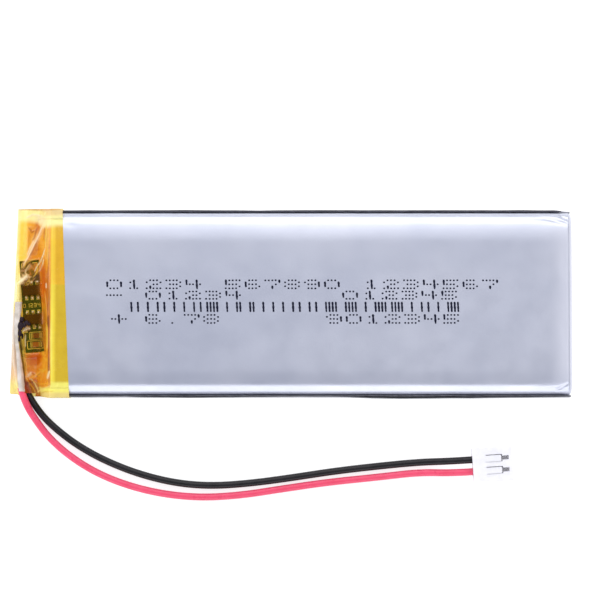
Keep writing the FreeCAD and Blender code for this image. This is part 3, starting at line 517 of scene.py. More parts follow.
# ------------------------------------------------------------------ pouch, flat half
def flat_half():
    fx = samples(-44.8, 46.25, 0.6, 0.9, 1.5, 0.1)
    # closer together where the tape's edge crosses, so that the seat's edge is straight
    fx = sorted([x for x in fx if not -39.46 < x < -36.94] + [-39.4 + 0.12 * k for k in range(21)])
    fy = samples(-15.62, 15.62, 0.5, 0.5, 1.2, 0.1)
    v, f = [], []
    for layer in (0, 1):
        for x in fx:
            for y in fy:
                yy = y if x > -41.2 else max(-13.2, min(13.2, y))
                taped = 1 - smooth(-38.35, -38.1, x + 0.0375 * yy)
                edge = min(46.25 - x, 15.62 - abs(y))
                lift = 0.05 * (1 - smooth(0.0, 0.45, edge)) if x > -38 else 0.0
                low = 0.002 + 0.058 * taped + lift + 0.006 * (1 + wave(x, yy, 0, 9.0, 2.2)) * smooth(0.5, 3.0, edge)
                v.append((x, yy, low if layer == 0 else 0.15))
    n = len(fx) * len(fy)
    f += [tuple(reversed(q)) for q in grid_faces(len(fx), len(fy))]
    f += grid_faces(len(fx), len(fy), n)
    ny = len(fy)
    ring = [i for i in range(ny)] + [u * ny + ny - 1 for u in range(1, len(fx))] + \
        [(len(fx) - 1) * ny + w for w in range(ny - 2, -1, -1)] + [u * ny for u in range(len(fx) - 2, 0, -1)]
    for a, b in zip(ring, ring[1:] + ring[:1]):
        f.append((a, b, b + n, a + n))
    return mesh_object("pouch_flat_half", v, f, M_LAMINATE)


flat = weld(flat_half(), 1e-7)


def bulge(x):
    """How far the outer fold of the front stands off the wall along the cell."""
    at = [-41, -36.5, -28, -26, -15, 1, 9, 13, 18, 26, 45, 47]
    off = [-0.10, 0.0, -0.04, 0.06, 0.12, -0.04, 0.04, 0.24, 0.30, 0.24, 0.03, 0.0]
    return float(np.interp(x, at, off))


def seal_fold(name, side, low_z, high_z, y_in, y_out, seed, edge=None):
    """One layer of a side seal, folded up against the wall: a long thin strip, a little wavy."""
    n = 240
    rows = 12
    v, f = [], []
    for i in range(n + 1):
        t = i / n
        x = -40.55 + t * 86.75
        end = smooth(43.2, 46.2, x)
        lean = 0.05 * wave(x, 0, 0, 13.0, seed) + 0.03 * wave(x, 0, 0, 4.0, seed + 3)
        if side < 0 and y_out > 15.55:
            lean += bulge(x)
        top = high_z + 0.07 * wave(x, 3, 0, 9.0, seed + 1) + 0.03 * wave(x, 3, 0, 2.2, seed) - 0.55 * end ** 2
        section = []
        for k in range(rows + 1):
            s = k / rows
            z = low_z + (top - low_z) * s
            pull = (lean - (0.04 if side > 0 else 0.0) - 0.26 * end * (1 if side > 0 else 0.25)) * s ** 1.3
            section.append((z, y_in + pull))
        for z, y in section:
            v.append((x, side * y, z))
        for z, y in reversed(section):
            v.append((x, side * (y + (y_out - y_in)), z - 0.004))
    m = 2 * (rows + 1)
    f += grid_faces(n + 1, m, 0, wrap_v=True)
    f.append(tuple(range(m)))
    f.append(tuple(reversed(range(n * m, n * m + m))))
    ob = mesh_object(name, v, f, M_SEAL)
    weld(ob, 1e-7)
    # the fold's top and bottom faces take the second material, a dark one: painted shade along its top edge
    ob.data.materials.append(edge or M_EDGE)
    for p in ob.data.polygons:
        up = abs(p.normal.z) > 0.75 and p.center.z > 0.003
        if up:
            p.material_index = 1
    return ob


folds = []
for side, tag in ((1, "back"), (-1, "front")):
    top = 3.88 if side < 0 else 3.08
    off = 0.15 if side > 0 else 0.0
    folds.append(seal_fold("seal_fold_inner_" + tag, side, 0.16, top, 15.335 + off, 15.465 + off, 2.0 + side, M_RIM))
    folds.append(seal_fold("seal_fold_outer_" + tag, side, 0.05, top + 0.12, 15.475 + off, 15.61 + off, 2.0 + side,
                           M_EDGE if side > 0 else M_EDGE_FRONT))

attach(cup, "root"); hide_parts("pouch_cup")
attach(terrace, "root")
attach(flat, "root"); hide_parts("pouch_cover")
for o in folds:
    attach(o, "root")


# ------------------------------------------------------------------ printed marks
def top_height(x, y):
    px, py, pz = cap_point(x, y, ZT)
    return pz + top_lift(px, py)


DIGITS = {
    "0": ("01110", "10001", "10001", "10001", "01110"), "1": ("00100", "01100", "00100", "00100", "01110"),
    "2": ("01110", "10001", "00110", "01000", "11111"), "3": ("11110", "00001", "01110", "00001", "11110"),
    "4": ("10010", "10010", "11111", "00010", "00010"), "5": ("11111", "10000", "11110", "00001", "11110"),
    "6": ("01110", "10000", "11110", "10001", "01110"), "7": ("11111", "00001", "00010", "00100", "00100"),
    "8": ("01110", "10001", "01110", "10001", "01110"), "9": ("01110", "10001", "01111", "00001", "01110"),
    "+": ("00100", "00100", "11111", "00100", "00100"), "-": ("00000", "00000", "11111", "00000", "00000"),
    ".": ("00000", "00000", "00000", "00000", "00100"), " ": ("00000",) * 5,
}
ink_v, ink_f = [], []
rng = random.Random(50)


def blob(x, y, rx, ry, slant=0.0):
    """A small domed spot of ink on the top face."""
    n = 10
    start = len(ink_v)
    z = top_height(x, y)
    ink_v.append((x, y, z + 0.034))
    for ring, h in ((0.75, 0.030), (1.0, 0.012)):
        for k in range(n):
            a = 2 * math.pi * k / n
            dx, dy = rx * ring * math.cos(a), ry * ring * math.sin(a)
            ink_v.append((x + dx + slant * dy, y + dy, top_height(x + dx, y + dy) + h))
    for k in range(n):
        a, b = start + 1 + k, start + 1 + (k + 1) % n
        ink_f.append((start, a, b))
        ink_f.append((a, a + n, b + n, b))


def stroke(x, y0, y1, w, slant=0.0):
    """An upright stroke of ink: dots that have run together."""
    n = max(3, int(abs(y1 - y0) / 0.18))
    start = len(ink_v)
    for i in range(n + 1):
        t = i / n
        y = y0 + (y1 - y0) * t
        fat = w * (0.86 + 0.14 * math.sin(t * math.pi * (n / 2.0)) + rng.uniform(-0.05, 0.05))
        if i in (0, n):
            fat *= 0.6
        xc = x + slant * (y - y0)
        z = top_height(xc, y)
        ink_v.append((xc - fat, y, z + 0.012))
        ink_v.append((xc - fat * 0.6, y, z + 0.030))
        ink_v.append((xc + fat * 0.6, y, z + 0.030))
        ink_v.append((xc + fat, y, z + 0.012))
    for i in range(n):
        for k in range(3):
            a = start + i * 4 + k
            ink_f.append((a, a + 1, a + 5, a + 4))


def glyph(ch, x_left, y_top, w, h):
    rows = DIGITS[ch]
    for c in range(5):
        r = 0
        while r < 5:
            if rows[r][c] == "1":
                run = r
                while run + 1 < 5 and rows[run + 1][c] == "1":
                    run += 1
                x = x_left + w * (c / 4) + rng.uniform(-0.02, 0.02)
                ya, yb = y_top - h * (r / 4), y_top - h * (run / 4)
                if run > r:
                    stroke(x, ya + 0.13, yb - 0.13, 0.20, slant=-0.06)
                else:
                    blob(x, ya + rng.uniform(-0.015, 0.015), 0.175, 0.155)
                r = run + 1
            else:
                r += 1


def px(x):
    return (x - 294.0) / 6.0


def py(y):
    return (303.25 - y) / 6.0


def line_of(text, x_start, x_stop, y_top, y_low):
    """Digits spread evenly between two positions."""
    n = len(text)
    w = 2.3
    pitch = (px(x_stop) - px(x_start) - w) / max(1, n - 1)
    for i, ch in enumerate(text):
        glyph(ch, px(x_start) + i * pitch, py(y_top), w if ch not in "." else w, py(y_top) - py(y_low))


line_of("01234 567890 1234567", 107, 497, 280.3, 288.3)
line_of("-", 107, 118, 291.5, 298.8)
line_of("01234", 146, 240, 291.5, 298.8)
line_of("012345", 343, 456, 291.5, 298.8)
line_of("+", 112, 122, 315, 323)
line_of("6.78", 146, 218, 315, 323)
line_of("9012345", 327, 458, 315, 323)
x = 131.5
while x < 459:
    for k in range(rng.choice((1, 1, 1, 1, 2, 4, 4))):
        if x < 459:
            stroke(px(x) - 0.06, py(301.8), py(312.0), 0.19 * rng.uniform(0.9, 1.1), slant=-0.055)
        x += 3.3
    x += 3.3 * rng.choice((1, 1, 2, 2, 2))
ink = mesh_object("ink_marks", ink_v, ink_f, M_INK)
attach(ink, "root")

# ------------------------------------------------------------------ amber tape
# The tape's top skin: over the cell's end, down to the terrace, over the board and the leads.
RED = [(-46.2, 0.4, 2.2), (-46.38, -4.4, 2.2), (-46.3, -9.2, 2.1), (-45.95, -13.4, 1.95),
       (-44.78, -17.0, 1.55), (-42.9, -19.9, 0.95), (-40.95, -22.4, 0.67), (-37.9, -25.15, 0.65),
       (-33.6, -27.95, 0.64), (-28.4, -30.15, 0.65), (-22.3, -31.7, 0.64), (-15.7, -32.35, 0.65),
       (-8.9, -31.95, 0.64), (-1.5, -30.8, 0.65), (6.0, -29.72, 0.64), (14.2, -28.9, 0.65),
       (21.0, -28.1, 0.8), (26.5858, -28.2510, 2.05), (30.9751, -27.9440, 2.05)]
BLACK = [(-46.2, -6.9, 0.74), (-46.15, -9.6, 0.74), (-45.75, -12.4, 0.74), (-44.7, -14.87, 0.71),
         (-43.4, -16.97, 0.67), (-41.75, -19.1, 0.66), (-39.4, -21.25, 0.64), (-36.2, -23.65, 0.65),
         (-31.7, -26.15, 0.64), (-26.0, -28.4, 0.65), (-19.9, -29.9, 0.64), (-14.0, -30.4, 0.65),
         (-7.4, -29.95, 0.64), (-0.7, -29.05, 0.65), (6.8, -27.9, 0.64), (14.2, -27.05, 0.65),
         (21.0, -26.4, 0.8), (26.4463, -26.2558, 2.05), (30.8356, -25.9489, 2.05)]


def skew(left, y):
    back, front = (-46.42, -47.7) if left else (-38.67, -37.45)
    return front + (back - front) * (y + 15.6) / 31.2


def soft_max(values, k=0.22):
    top = max(values)
    return top + k * math.log(sum(math.exp((v - top) / k) for v in values))


def body_top(x, y):
    """Height of the drawn form's outside, for x over the body."""
    a = abs(y)
    if a < HY - 2.05:
        z = ZT
    else:
        d = min(1.0, (a - (HY - 2.05)) / 2.05)
        z = ZT - 1.75 + 1.75 * math.sqrt(max(0.0, 1 - d ** 2))
    if a > 14.2:
        # the film spans the shoulder to the top of the folded seal
        t = (a - 13.2) / 2.48
        z = max(z + top_lift(x, y), (4.78 if y < 0 else 4.66) * (1 - t) + 4.44 * t)
    else:
        z += top_lift(x, y)
    return z


TURN = math.radians(4.2)


def board_xy(x, y):
    """A point in the board's own directions, from its centre."""
    dx, dy = x + 43.9, y + 0.33
    return dx * math.cos(TURN) + dy * math.sin(TURN), -dx * math.sin(TURN) + dy * math.cos(TURN)


def red_line(y):
    """Where the red lead runs under the film: its x and the height of its top."""
    ys = (0.4, -4.4, -9.2, -13.4, -15.7)
    xs_ = (-46.2, -46.36, -46.28, -45.9, -45.3)
    zs_ = (2.80, 2.80, 2.72, 2.5, 2.15)
    for k in range(4):
        if y > ys[k + 1] or k == 3:
            t = min(1.0, max(0.0, (y - ys[k]) / (ys[k + 1] - ys[k])))
            return xs_[k] + (xs_[k + 1] - xs_[k]) * t, zs_[k] + (zs_[k + 1] - zs_[k]) * t


def support(x, y):
    """What the film lies on beyond the step: board, chips, leads, terrace."""
    low = 0.72 - 0.42 * (1 - smooth(-45.7, -44.7, x))
    vals = [low]
    bx, by = board_xy(x, y)
    vals.append(low + (1.72 - low) * (1 - smooth(1.62, 2.35, abs(bx))) * (1 - smooth(7.75, 8.9, abs(by))))
    for cy in (2.68, -2.2):
        vals.append(2.80 * (1 - smooth(1.5, 2.3, abs(bx - 0.12))) * (1 - smooth(0.9, 2.1, abs(by - cy))))
    vals.append(2.22 * (1 - smooth(0.9, 1.6, abs(bx - 0.38))) * (1 - smooth(0.4, 1.2, abs(by + 4.95))))
    vals.append(2.58 * (1 - smooth(0.9, 1.6, abs(bx - 0.22))) * (1 - smooth(0.4, 1.2, abs(by + 6.45))))
    rx_, rz_ = red_line(y)
    vals.append((rz_ + 0.05) * math.exp(-((x - rx_) / 0.95) ** 4) * (1 - smooth(0.3, 1.8, y)))
    for ax, ay, bx_, by_, h in ((-44.9, 4.5, -46.1, 3.4, 2.5), (-46.1, 3.4, -46.2, 0.2, 2.55), (-44.9, -4.2, -45.6, -4.6, 2.35)):
        ux, uy = bx_ - ax, by_ - ay
        t = min(1.0, max(0.0, ((x - ax) * ux + (y - ay) * uy) / (ux * ux + uy * uy)))
        d = math.hypot(x - ax - t * ux, y - ay - t * uy)
        vals.append(h * math.exp(-(d / 0.62) ** 3))
    if y < -6.0:
        bxl = -46.15 + 1.9 * smooth(-9.6, -15.7, y)
        vals.append(1.45 * math.exp(-((x - bxl) / 0.9) ** 4) * (1 - smooth(-8.0, -6.0, y)))
    return soft_max(vals, 0.10)


def trail(points, width, height, colour, layer, amount):
    """A wrinkle along points given as picture positions of the top view, and how it tints the film: mostly painted
    highlights on its ridges and painted shade in its folds.
    """
    pts = [(px(u) - 0.22, py(v) + 0.13) for u, v in points]
    lengths = [math.hypot(q[0] - r[0], q[1] - r[1]) for r, q in zip(pts, pts[1:])]
    low = (min(q[0] for q in pts) - 3 * width, min(q[1] for q in pts) - 3 * width)
    high = (max(q[0] for q in pts) + 3 * width, max(q[1] for q in pts) + 3 * width)
    return pts, lengths, sum(lengths), low, high, width, height, colour, layer, amount


def along(x, y, t):
    """1 on the middle of a trail, fading to its sides and ends."""
    pts, lengths, total, low, high, width = t[:6]
    if not (low[0] < x < high[0] and low[1] < y < high[1]):
        return 0.0
    best, where, run = 1e9, 0.0, 0.0
    for (ax, ay), (bx, by), n in zip(pts, pts[1:], lengths):
        k = min(1.0, max(0.0, ((x - ax) * (bx - ax) + (y - ay) * (by - ay)) / (n * n)))
        d = math.hypot(x - ax - k * (bx - ax), y - ay - k * (by - ay))
        if d < best:
            best, where = d, (run + k * n) / total
        run += n
    w = width * (0.55 + 0.45 * math.sin(math.pi * min(1.0, max(0.0, where))))
    return math.exp(-(best / w) ** 2) * smooth(-0.02, 0.16, where) * (1 - smooth(0.84, 1.02, where))


CREAM, PEACH, GOLD, AMBER = (1.0, 0.84, 0.55), (1.0, 0.66, 0.36), (1.0, 0.66, 0.06), (0.95, 0.40, 0.02)
BROWN, BLACKISH, PALE = (0.30, 0.035, 0.003), (0.02, 0.008, 0.004), (1.0, 0.90, 0.50)
FOLDS_AND_PAINTED_LIGHT = [
    # the long wrinkle from the shoulder to the red lead's joint, with painted highlights along its ridge and painted
    # shade beside it
    trail([(44, 221), (41, 228), (37, 236), (32, 246.5), (28, 255), (24, 263.5), (21, 271)], 0.46, 0.40, (1.0, 0.62, 0.24), 0.86, 0.85),
    trail([(43.2, 223), (40, 230), (36, 238.5), (31.3, 248.5), (27.3, 257), (23.8, 265)], 0.19, 0.18, (1.0, 0.78, 0.48), 0.9, 0.95),
    trail([(36.5, 240), (32, 250), (28, 258)], 0.12, 0.0, (0.62, 0.30, 0.10), 0.85, 0.6),
    trail([(33.5, 238), (29, 247), (25.5, 256)], 0.12, 0.06, (1.0, 0.86, 0.52), 0.88, 0.7),
    # smaller wrinkles nearby: painted highlights on their ridges
    trail([(23, 268), (26, 262), (32, 259), (37, 258)], 0.14, 0.16, GOLD, 0.8, 0.7),
    trail([(45.5, 247), (43.5, 254), (40, 261), (36, 267), (33.5, 273)], 0.13, 0.20, PALE, 0.8, 0.9),
    trail([(44, 258), (42.5, 264), (40.5, 268.5), (37.5, 272)], 0.13, 0.18, PALE, 0.8, 0.85),
    trail([(36.5, 262), (37.5, 267), (36.5, 272), (32, 278)], 0.12, 0.14, GOLD, 0.8, 0.9),
    trail([(30, 262), (27, 267), (25, 272), (28, 277), (33, 276)], 0.16, 0.16, (0.90, 0.66, 0.24), 0.85, 0.85),
    trail([(19, 270), (23, 270.5), (28, 268), (31, 263)], 0.26, 0.05, (0.62, 0.42, 0.18), 0.80, 0.7),
    trail([(40, 256), (39.5, 264), (39, 272)], 0.10, 0.10, AMBER, 0.75, 0.7),
    trail([(20, 268), (20.5, 273), (24, 275.5), (30, 275)], 0.13, 0.14, (0.62, 0.40, 0.14), 0.7, 0.7),
    # cream where the joint presses on the film
    trail([(19, 279), (23, 279), (26.5, 276.5), (29, 274)], 0.62, 0.10, (1.0, 0.84, 0.50), 0.92, 0.95),
    trail([(18.5, 284), (20.5, 281.5), (24, 280)], 0.50, 0.05, (1.0, 0.88, 0.50), 0.92, 0.9),
    trail([(27, 286), (29.5, 282), (33, 279), (36, 277)], 0.20, 0.05, (0.80, 0.50, 0.14), 0.80, 0.6),
    # light caught on the pins through the film
    *[trail([(u + 1.2, v - 0.5), (u + 1.7, v + 0.7), (u + 2.0, v + 1.8)], 0.17, 0.0, (1.0, 0.93, 0.66), 0.92, k)
      for u, v, k in ((29.6, 281.3, 0.9), (35.2, 280.6, 1.0), (24.6, 297.0, 0.9), (30.6, 297.0, 1.0), (36.4, 296.6, 1.0),
                      (25.2, 311.6, 1.0), (31.0, 310.9, 1.0), (37.0, 311.2, 1.0), (38.2, 326.6, 0.9), (34.0, 325.8, 0.6))],
    # the joint of the black lead
    trail([(22, 331), (26, 328.5), (31, 328)], 0.34, 0.05, (1.0, 0.86, 0.56), 0.92, 0.95),
    trail([(25.5, 333), (25, 340), (25.5, 348)], 0.13, 0.08, (1.0, 0.90, 0.45), 0.9, 0.9),
    trail([(33, 346), (37, 348.5), (42, 350)], 0.15, 0.05, (0.70, 0.42, 0.08), 0.6, 0.5),
    # upper part: the gold and cream lines are painted highlights; the deep red band beside the board and the dark lines
    # along the step are painted shade
    trail([(30, 224), (28.5, 234), (27, 246)], 0.28, 0.10, AMBER, 0.7, 0.6),
    trail([(27, 226), (31, 231), (34, 229)], 0.16, 0.12, BROWN, 0.7, 0.5),
    trail([(36, 226), (33.5, 236), (31, 240)], 0.18, 0.10, BROWN, 0.65, 0.45),
    trail([(47, 224), (46.2, 238), (45.5, 250)], 0.16, 0.14, GOLD, 0.8, 0.8),
    trail([(49.2, 226), (48.4, 246), (48.6, 268)], 0.10, 0.10, GOLD, 0.8, 0.7),
    trail([(44.8, 226), (44.2, 240)], 0.12, 0.08, BROWN, 0.7, 0.45),
    trail([(49.8, 250), (49.2, 275), (49.6, 292)], 0.10, 0.06, (0.42, 0.10, 0.005), 0.85, 0.7),
    trail([(42.5, 262), (44.5, 282), (46, 308)], 0.72, 0.08, (0.68, 0.115, 0.004), 0.90, 0.9),
    trail([(48.4, 268), (48.2, 290), (48.0, 314)], 0.34, 0.0, (0.56, 0.15, 0.006), 0.90, 0.8),
    trail([(44.5, 305), (45, 325), (44.5, 350)], 0.5, 0.0, (0.46, 0.15, 0.008), 0.90, 0.8),
    trail([(46.8, 283), (47.0, 289)], 0.11, 0.10, CREAM, 0.85, 0.9),
    trail([(45.0, 290), (46.5, 305), (47.5, 320)], 0.14, 0.12, AMBER, 0.75, 0.8),
    trail([(49.4, 300), (48.4, 316), (49.0, 330)], 0.10, 0.08, BROWN, 0.8, 0.7),
    trail([(47.6, 322), (48.2, 340), (47.8, 352)], 0.15, 0.12, GOLD, 0.8, 0.85),
    trail([(49.9, 318), (49.7, 345), (49.8, 374)], 0.09, 0.06, BROWN, 0.85, 0.85),
    trail([(45, 328), (46.2, 342), (46.4, 356)], 0.16, 0.08, (0.75, 0.22, 0.01), 0.7, 0.7),
    # along the strip: a painted shadow along its right edge and a darker line along its left; at the step, painted
    # shade along its foot and a painted highlight on its edge
    trail([(24.6, 350), (24.4, 356), (25.6, 366), (26.6, 376), (28.0, 386)], 0.12, 0.10, (0.92, 0.50, 0.10), 0.85, 0.8),
    trail([(19.3, 338), (20.9, 348), (22.4, 358), (23.6, 370), (25.6, 388)], 0.17, 0.0, BLACKISH, 0.96, 1.0),
    trail([(20.3, 336), (21.3, 344), (22.4, 352)], 0.26, 0.0, (0.03, 0.02, 0.01), 0.95, 0.9),
    trail([(14.6, 306), (14.4, 320), (13.8, 334), (14.9, 348), (16.0, 360), (16.8, 376)], 0.09, 0.0, (0.40, 0.30, 0.24), 0.9, 0.85),
    trail([(50.2, 286), (49.9, 300), (50.0, 314)], 0.09, 0.0, (0.40, 0.14, 0.01), 0.92, 0.8),
    trail([(49.9, 315), (49.6, 321), (49.9, 329)], 0.16, 0.0, (0.20, 0.05, 0.004), 0.94, 0.9),
    trail([(50.0, 356), (50.2, 367), (50.4, 378)], 0.20, 0.0, (0.34, 0.10, 0.006), 0.92, 0.9),
    trail([(52.3, 318), (52.5, 345), (52.8, 374)], 0.12, 0.0, (1.0, 0.88, 0.16), 0.92, 0.8),
    # below the board: the cream and gold spots are painted highlights
    trail([(27, 356), (35, 358), (44, 356)], 0.46, 0.06, (0.66, 0.10, 0.004), 0.9, 0.75),
    trail([(33, 368), (39, 366), (43, 362)], 0.26, 0.10, (0.98, 0.38, 0.06), 0.9, 0.7),
    trail([(24.2, 352), (24.6, 360), (26, 366)], 0.16, 0.08, (1.0, 0.52, 0.08), 0.9, 0.85),
    trail([(30, 372), (36, 376), (41, 373)], 0.22, 0.10, BROWN, 0.6, 0.35),
    trail([(38, 368), (43, 372), (47, 369)], 0.16, 0.10, GOLD, 0.7, 0.5),
    trail([(26.5, 378), (28.5, 375), (31, 372)], 0.30, 0.14, (1.0, 0.72, 0.40), 0.90, 0.85),
    trail([(32, 379), (36, 374.5), (41, 371)], 0.22, 0.10, (1.0, 0.46, 0.05), 0.9, 0.8),
    trail([(48.4, 380), (49.6, 376), (51.2, 371)], 0.19, 0.14, (1.0, 0.84, 0.46), 0.90, 0.9),
    trail([(40, 388), (45, 387), (51, 385)], 0.30, 0.06, (0.86, 0.30, 0.02), 0.9, 0.8),
    # folds over the leads' way out: dark painted shade in the folds, golden painted highlights on their ridges
    trail([(26, 381), (30, 388), (34, 396)], 0.62, 0.0, (0.20, 0.022, 0.002), 0.85, 0.95),
    trail([(30.5, 384), (34.5, 390), (37, 396)], 0.40, 0.0, (0.30, 0.04, 0.003), 0.85, 0.9),
    trail([(25.5, 378), (29, 383), (33, 389), (36, 396)], 0.10, 0.16, (0.90, 0.42, 0.05), 0.85, 0.7),
    trail([(26, 386), (28.5, 391), (30.5, 396)], 0.09, 0.10, (0.62, 0.10, 0.01), 0.85, 0.7),
    trail([(27.0, 378.5), (31.5, 380), (35, 385), (37.5, 391), (38.5, 396)], 0.11, 0.16, (1.0, 0.72, 0.24), 0.88, 0.85),
    trail([(31, 380.5), (38, 384), (47, 385.5), (52, 384)], 0.16, 0.14, AMBER, 0.75, 0.7),
    trail([(36, 394.5), (42, 390.5), (49, 387.5), (53, 386)], 0.13, 0.12, (1.0, 0.78, 0.22), 0.88, 0.85),
    trail([(39, 396), (46, 392.5), (56, 392)], 0.10, 0.08, (0.80, 0.40, 0.04), 0.85, 0.55),
    # painted highlight of the upper shoulder, over the terrace
    trail([(24, 218), (32, 214.5), (42, 216)], 0.20, 0.10, (1.0, 0.84, 0.60), 0.85, 0.6),
]


def skin(x, y):
    """Height of the film's top skin."""
    over = x > -40.62
    a = abs(y)
    if over:
        z = body_top(x, y) + 0.05
        z += 0.012 * wave(x, y, 0, 3.0, 4.0)
    else:
        run = -40.62 - x
        start = body_top(-40.5, y) + 0.05
        slope = start - 1.55 * run ** 1.12
        z = soft_max([slope, support(x, y)], 0.2 * smooth(0.0, 0.8, run) + 0.03)
        z = min(z, start)
        amp = smooth(0.3, 1.5, run) * (0.25 if x < -45.2 and -15 < y < 1 else 1.0)
        z += amp * (0.10 * wave(x * 1.4, y * 0.7, 0, 1.9, 1.7) + 0.06 * wave(x * 1.6, y, 0, 0.8, 6.1)
                    + 0.02 * wave(x * 1.2, y, 0, 0.35, 2.4))
    if not over:
        for t in FOLDS_AND_PAINTED_LIGHT:
            z += t[6] * along(x, y, t)
    return z


STRIP = [(301.0, 15.0, 21.7), (310, 14.7, 21.3), (316, 14.5, 20.4), (322, 14.3, 19.2), (328, 14.2, 18.2), (334, 14.4, 17.9),
         (340, 14.9, 18.3), (346, 15.6, 19.1), (355, 16.5, 20.5), (366, 17.0, 22.2), (378, 17.6, 23.8), (391, 18.9, 25.0)]


def strip_sides(y):
    """Left and right side of the white strip at a y of the object's frame, in millimetres."""
    v = 303.25 - (y - 0.11) * 6
    if v <= STRIP[0][0]:
        v0, a, b = STRIP[0]
    elif v >= STRIP[-1][0]:
        v0, a, b = STRIP[-1]
    else:
        k = next(i for i in range(len(STRIP) - 1) if STRIP[i + 1][0] >= v)
        t = (v - STRIP[k][0]) / (STRIP[k + 1][0] - STRIP[k][0])
        t = t * t * (3 - 2 * t)
        a = STRIP[k][1] * (1 - t) + STRIP[k + 1][1] * t
        b = STRIP[k][2] * (1 - t) + STRIP[k + 1][2] * t
    return (a - 294) / 6 - 0.17, (b - 294) / 6 - 0.17


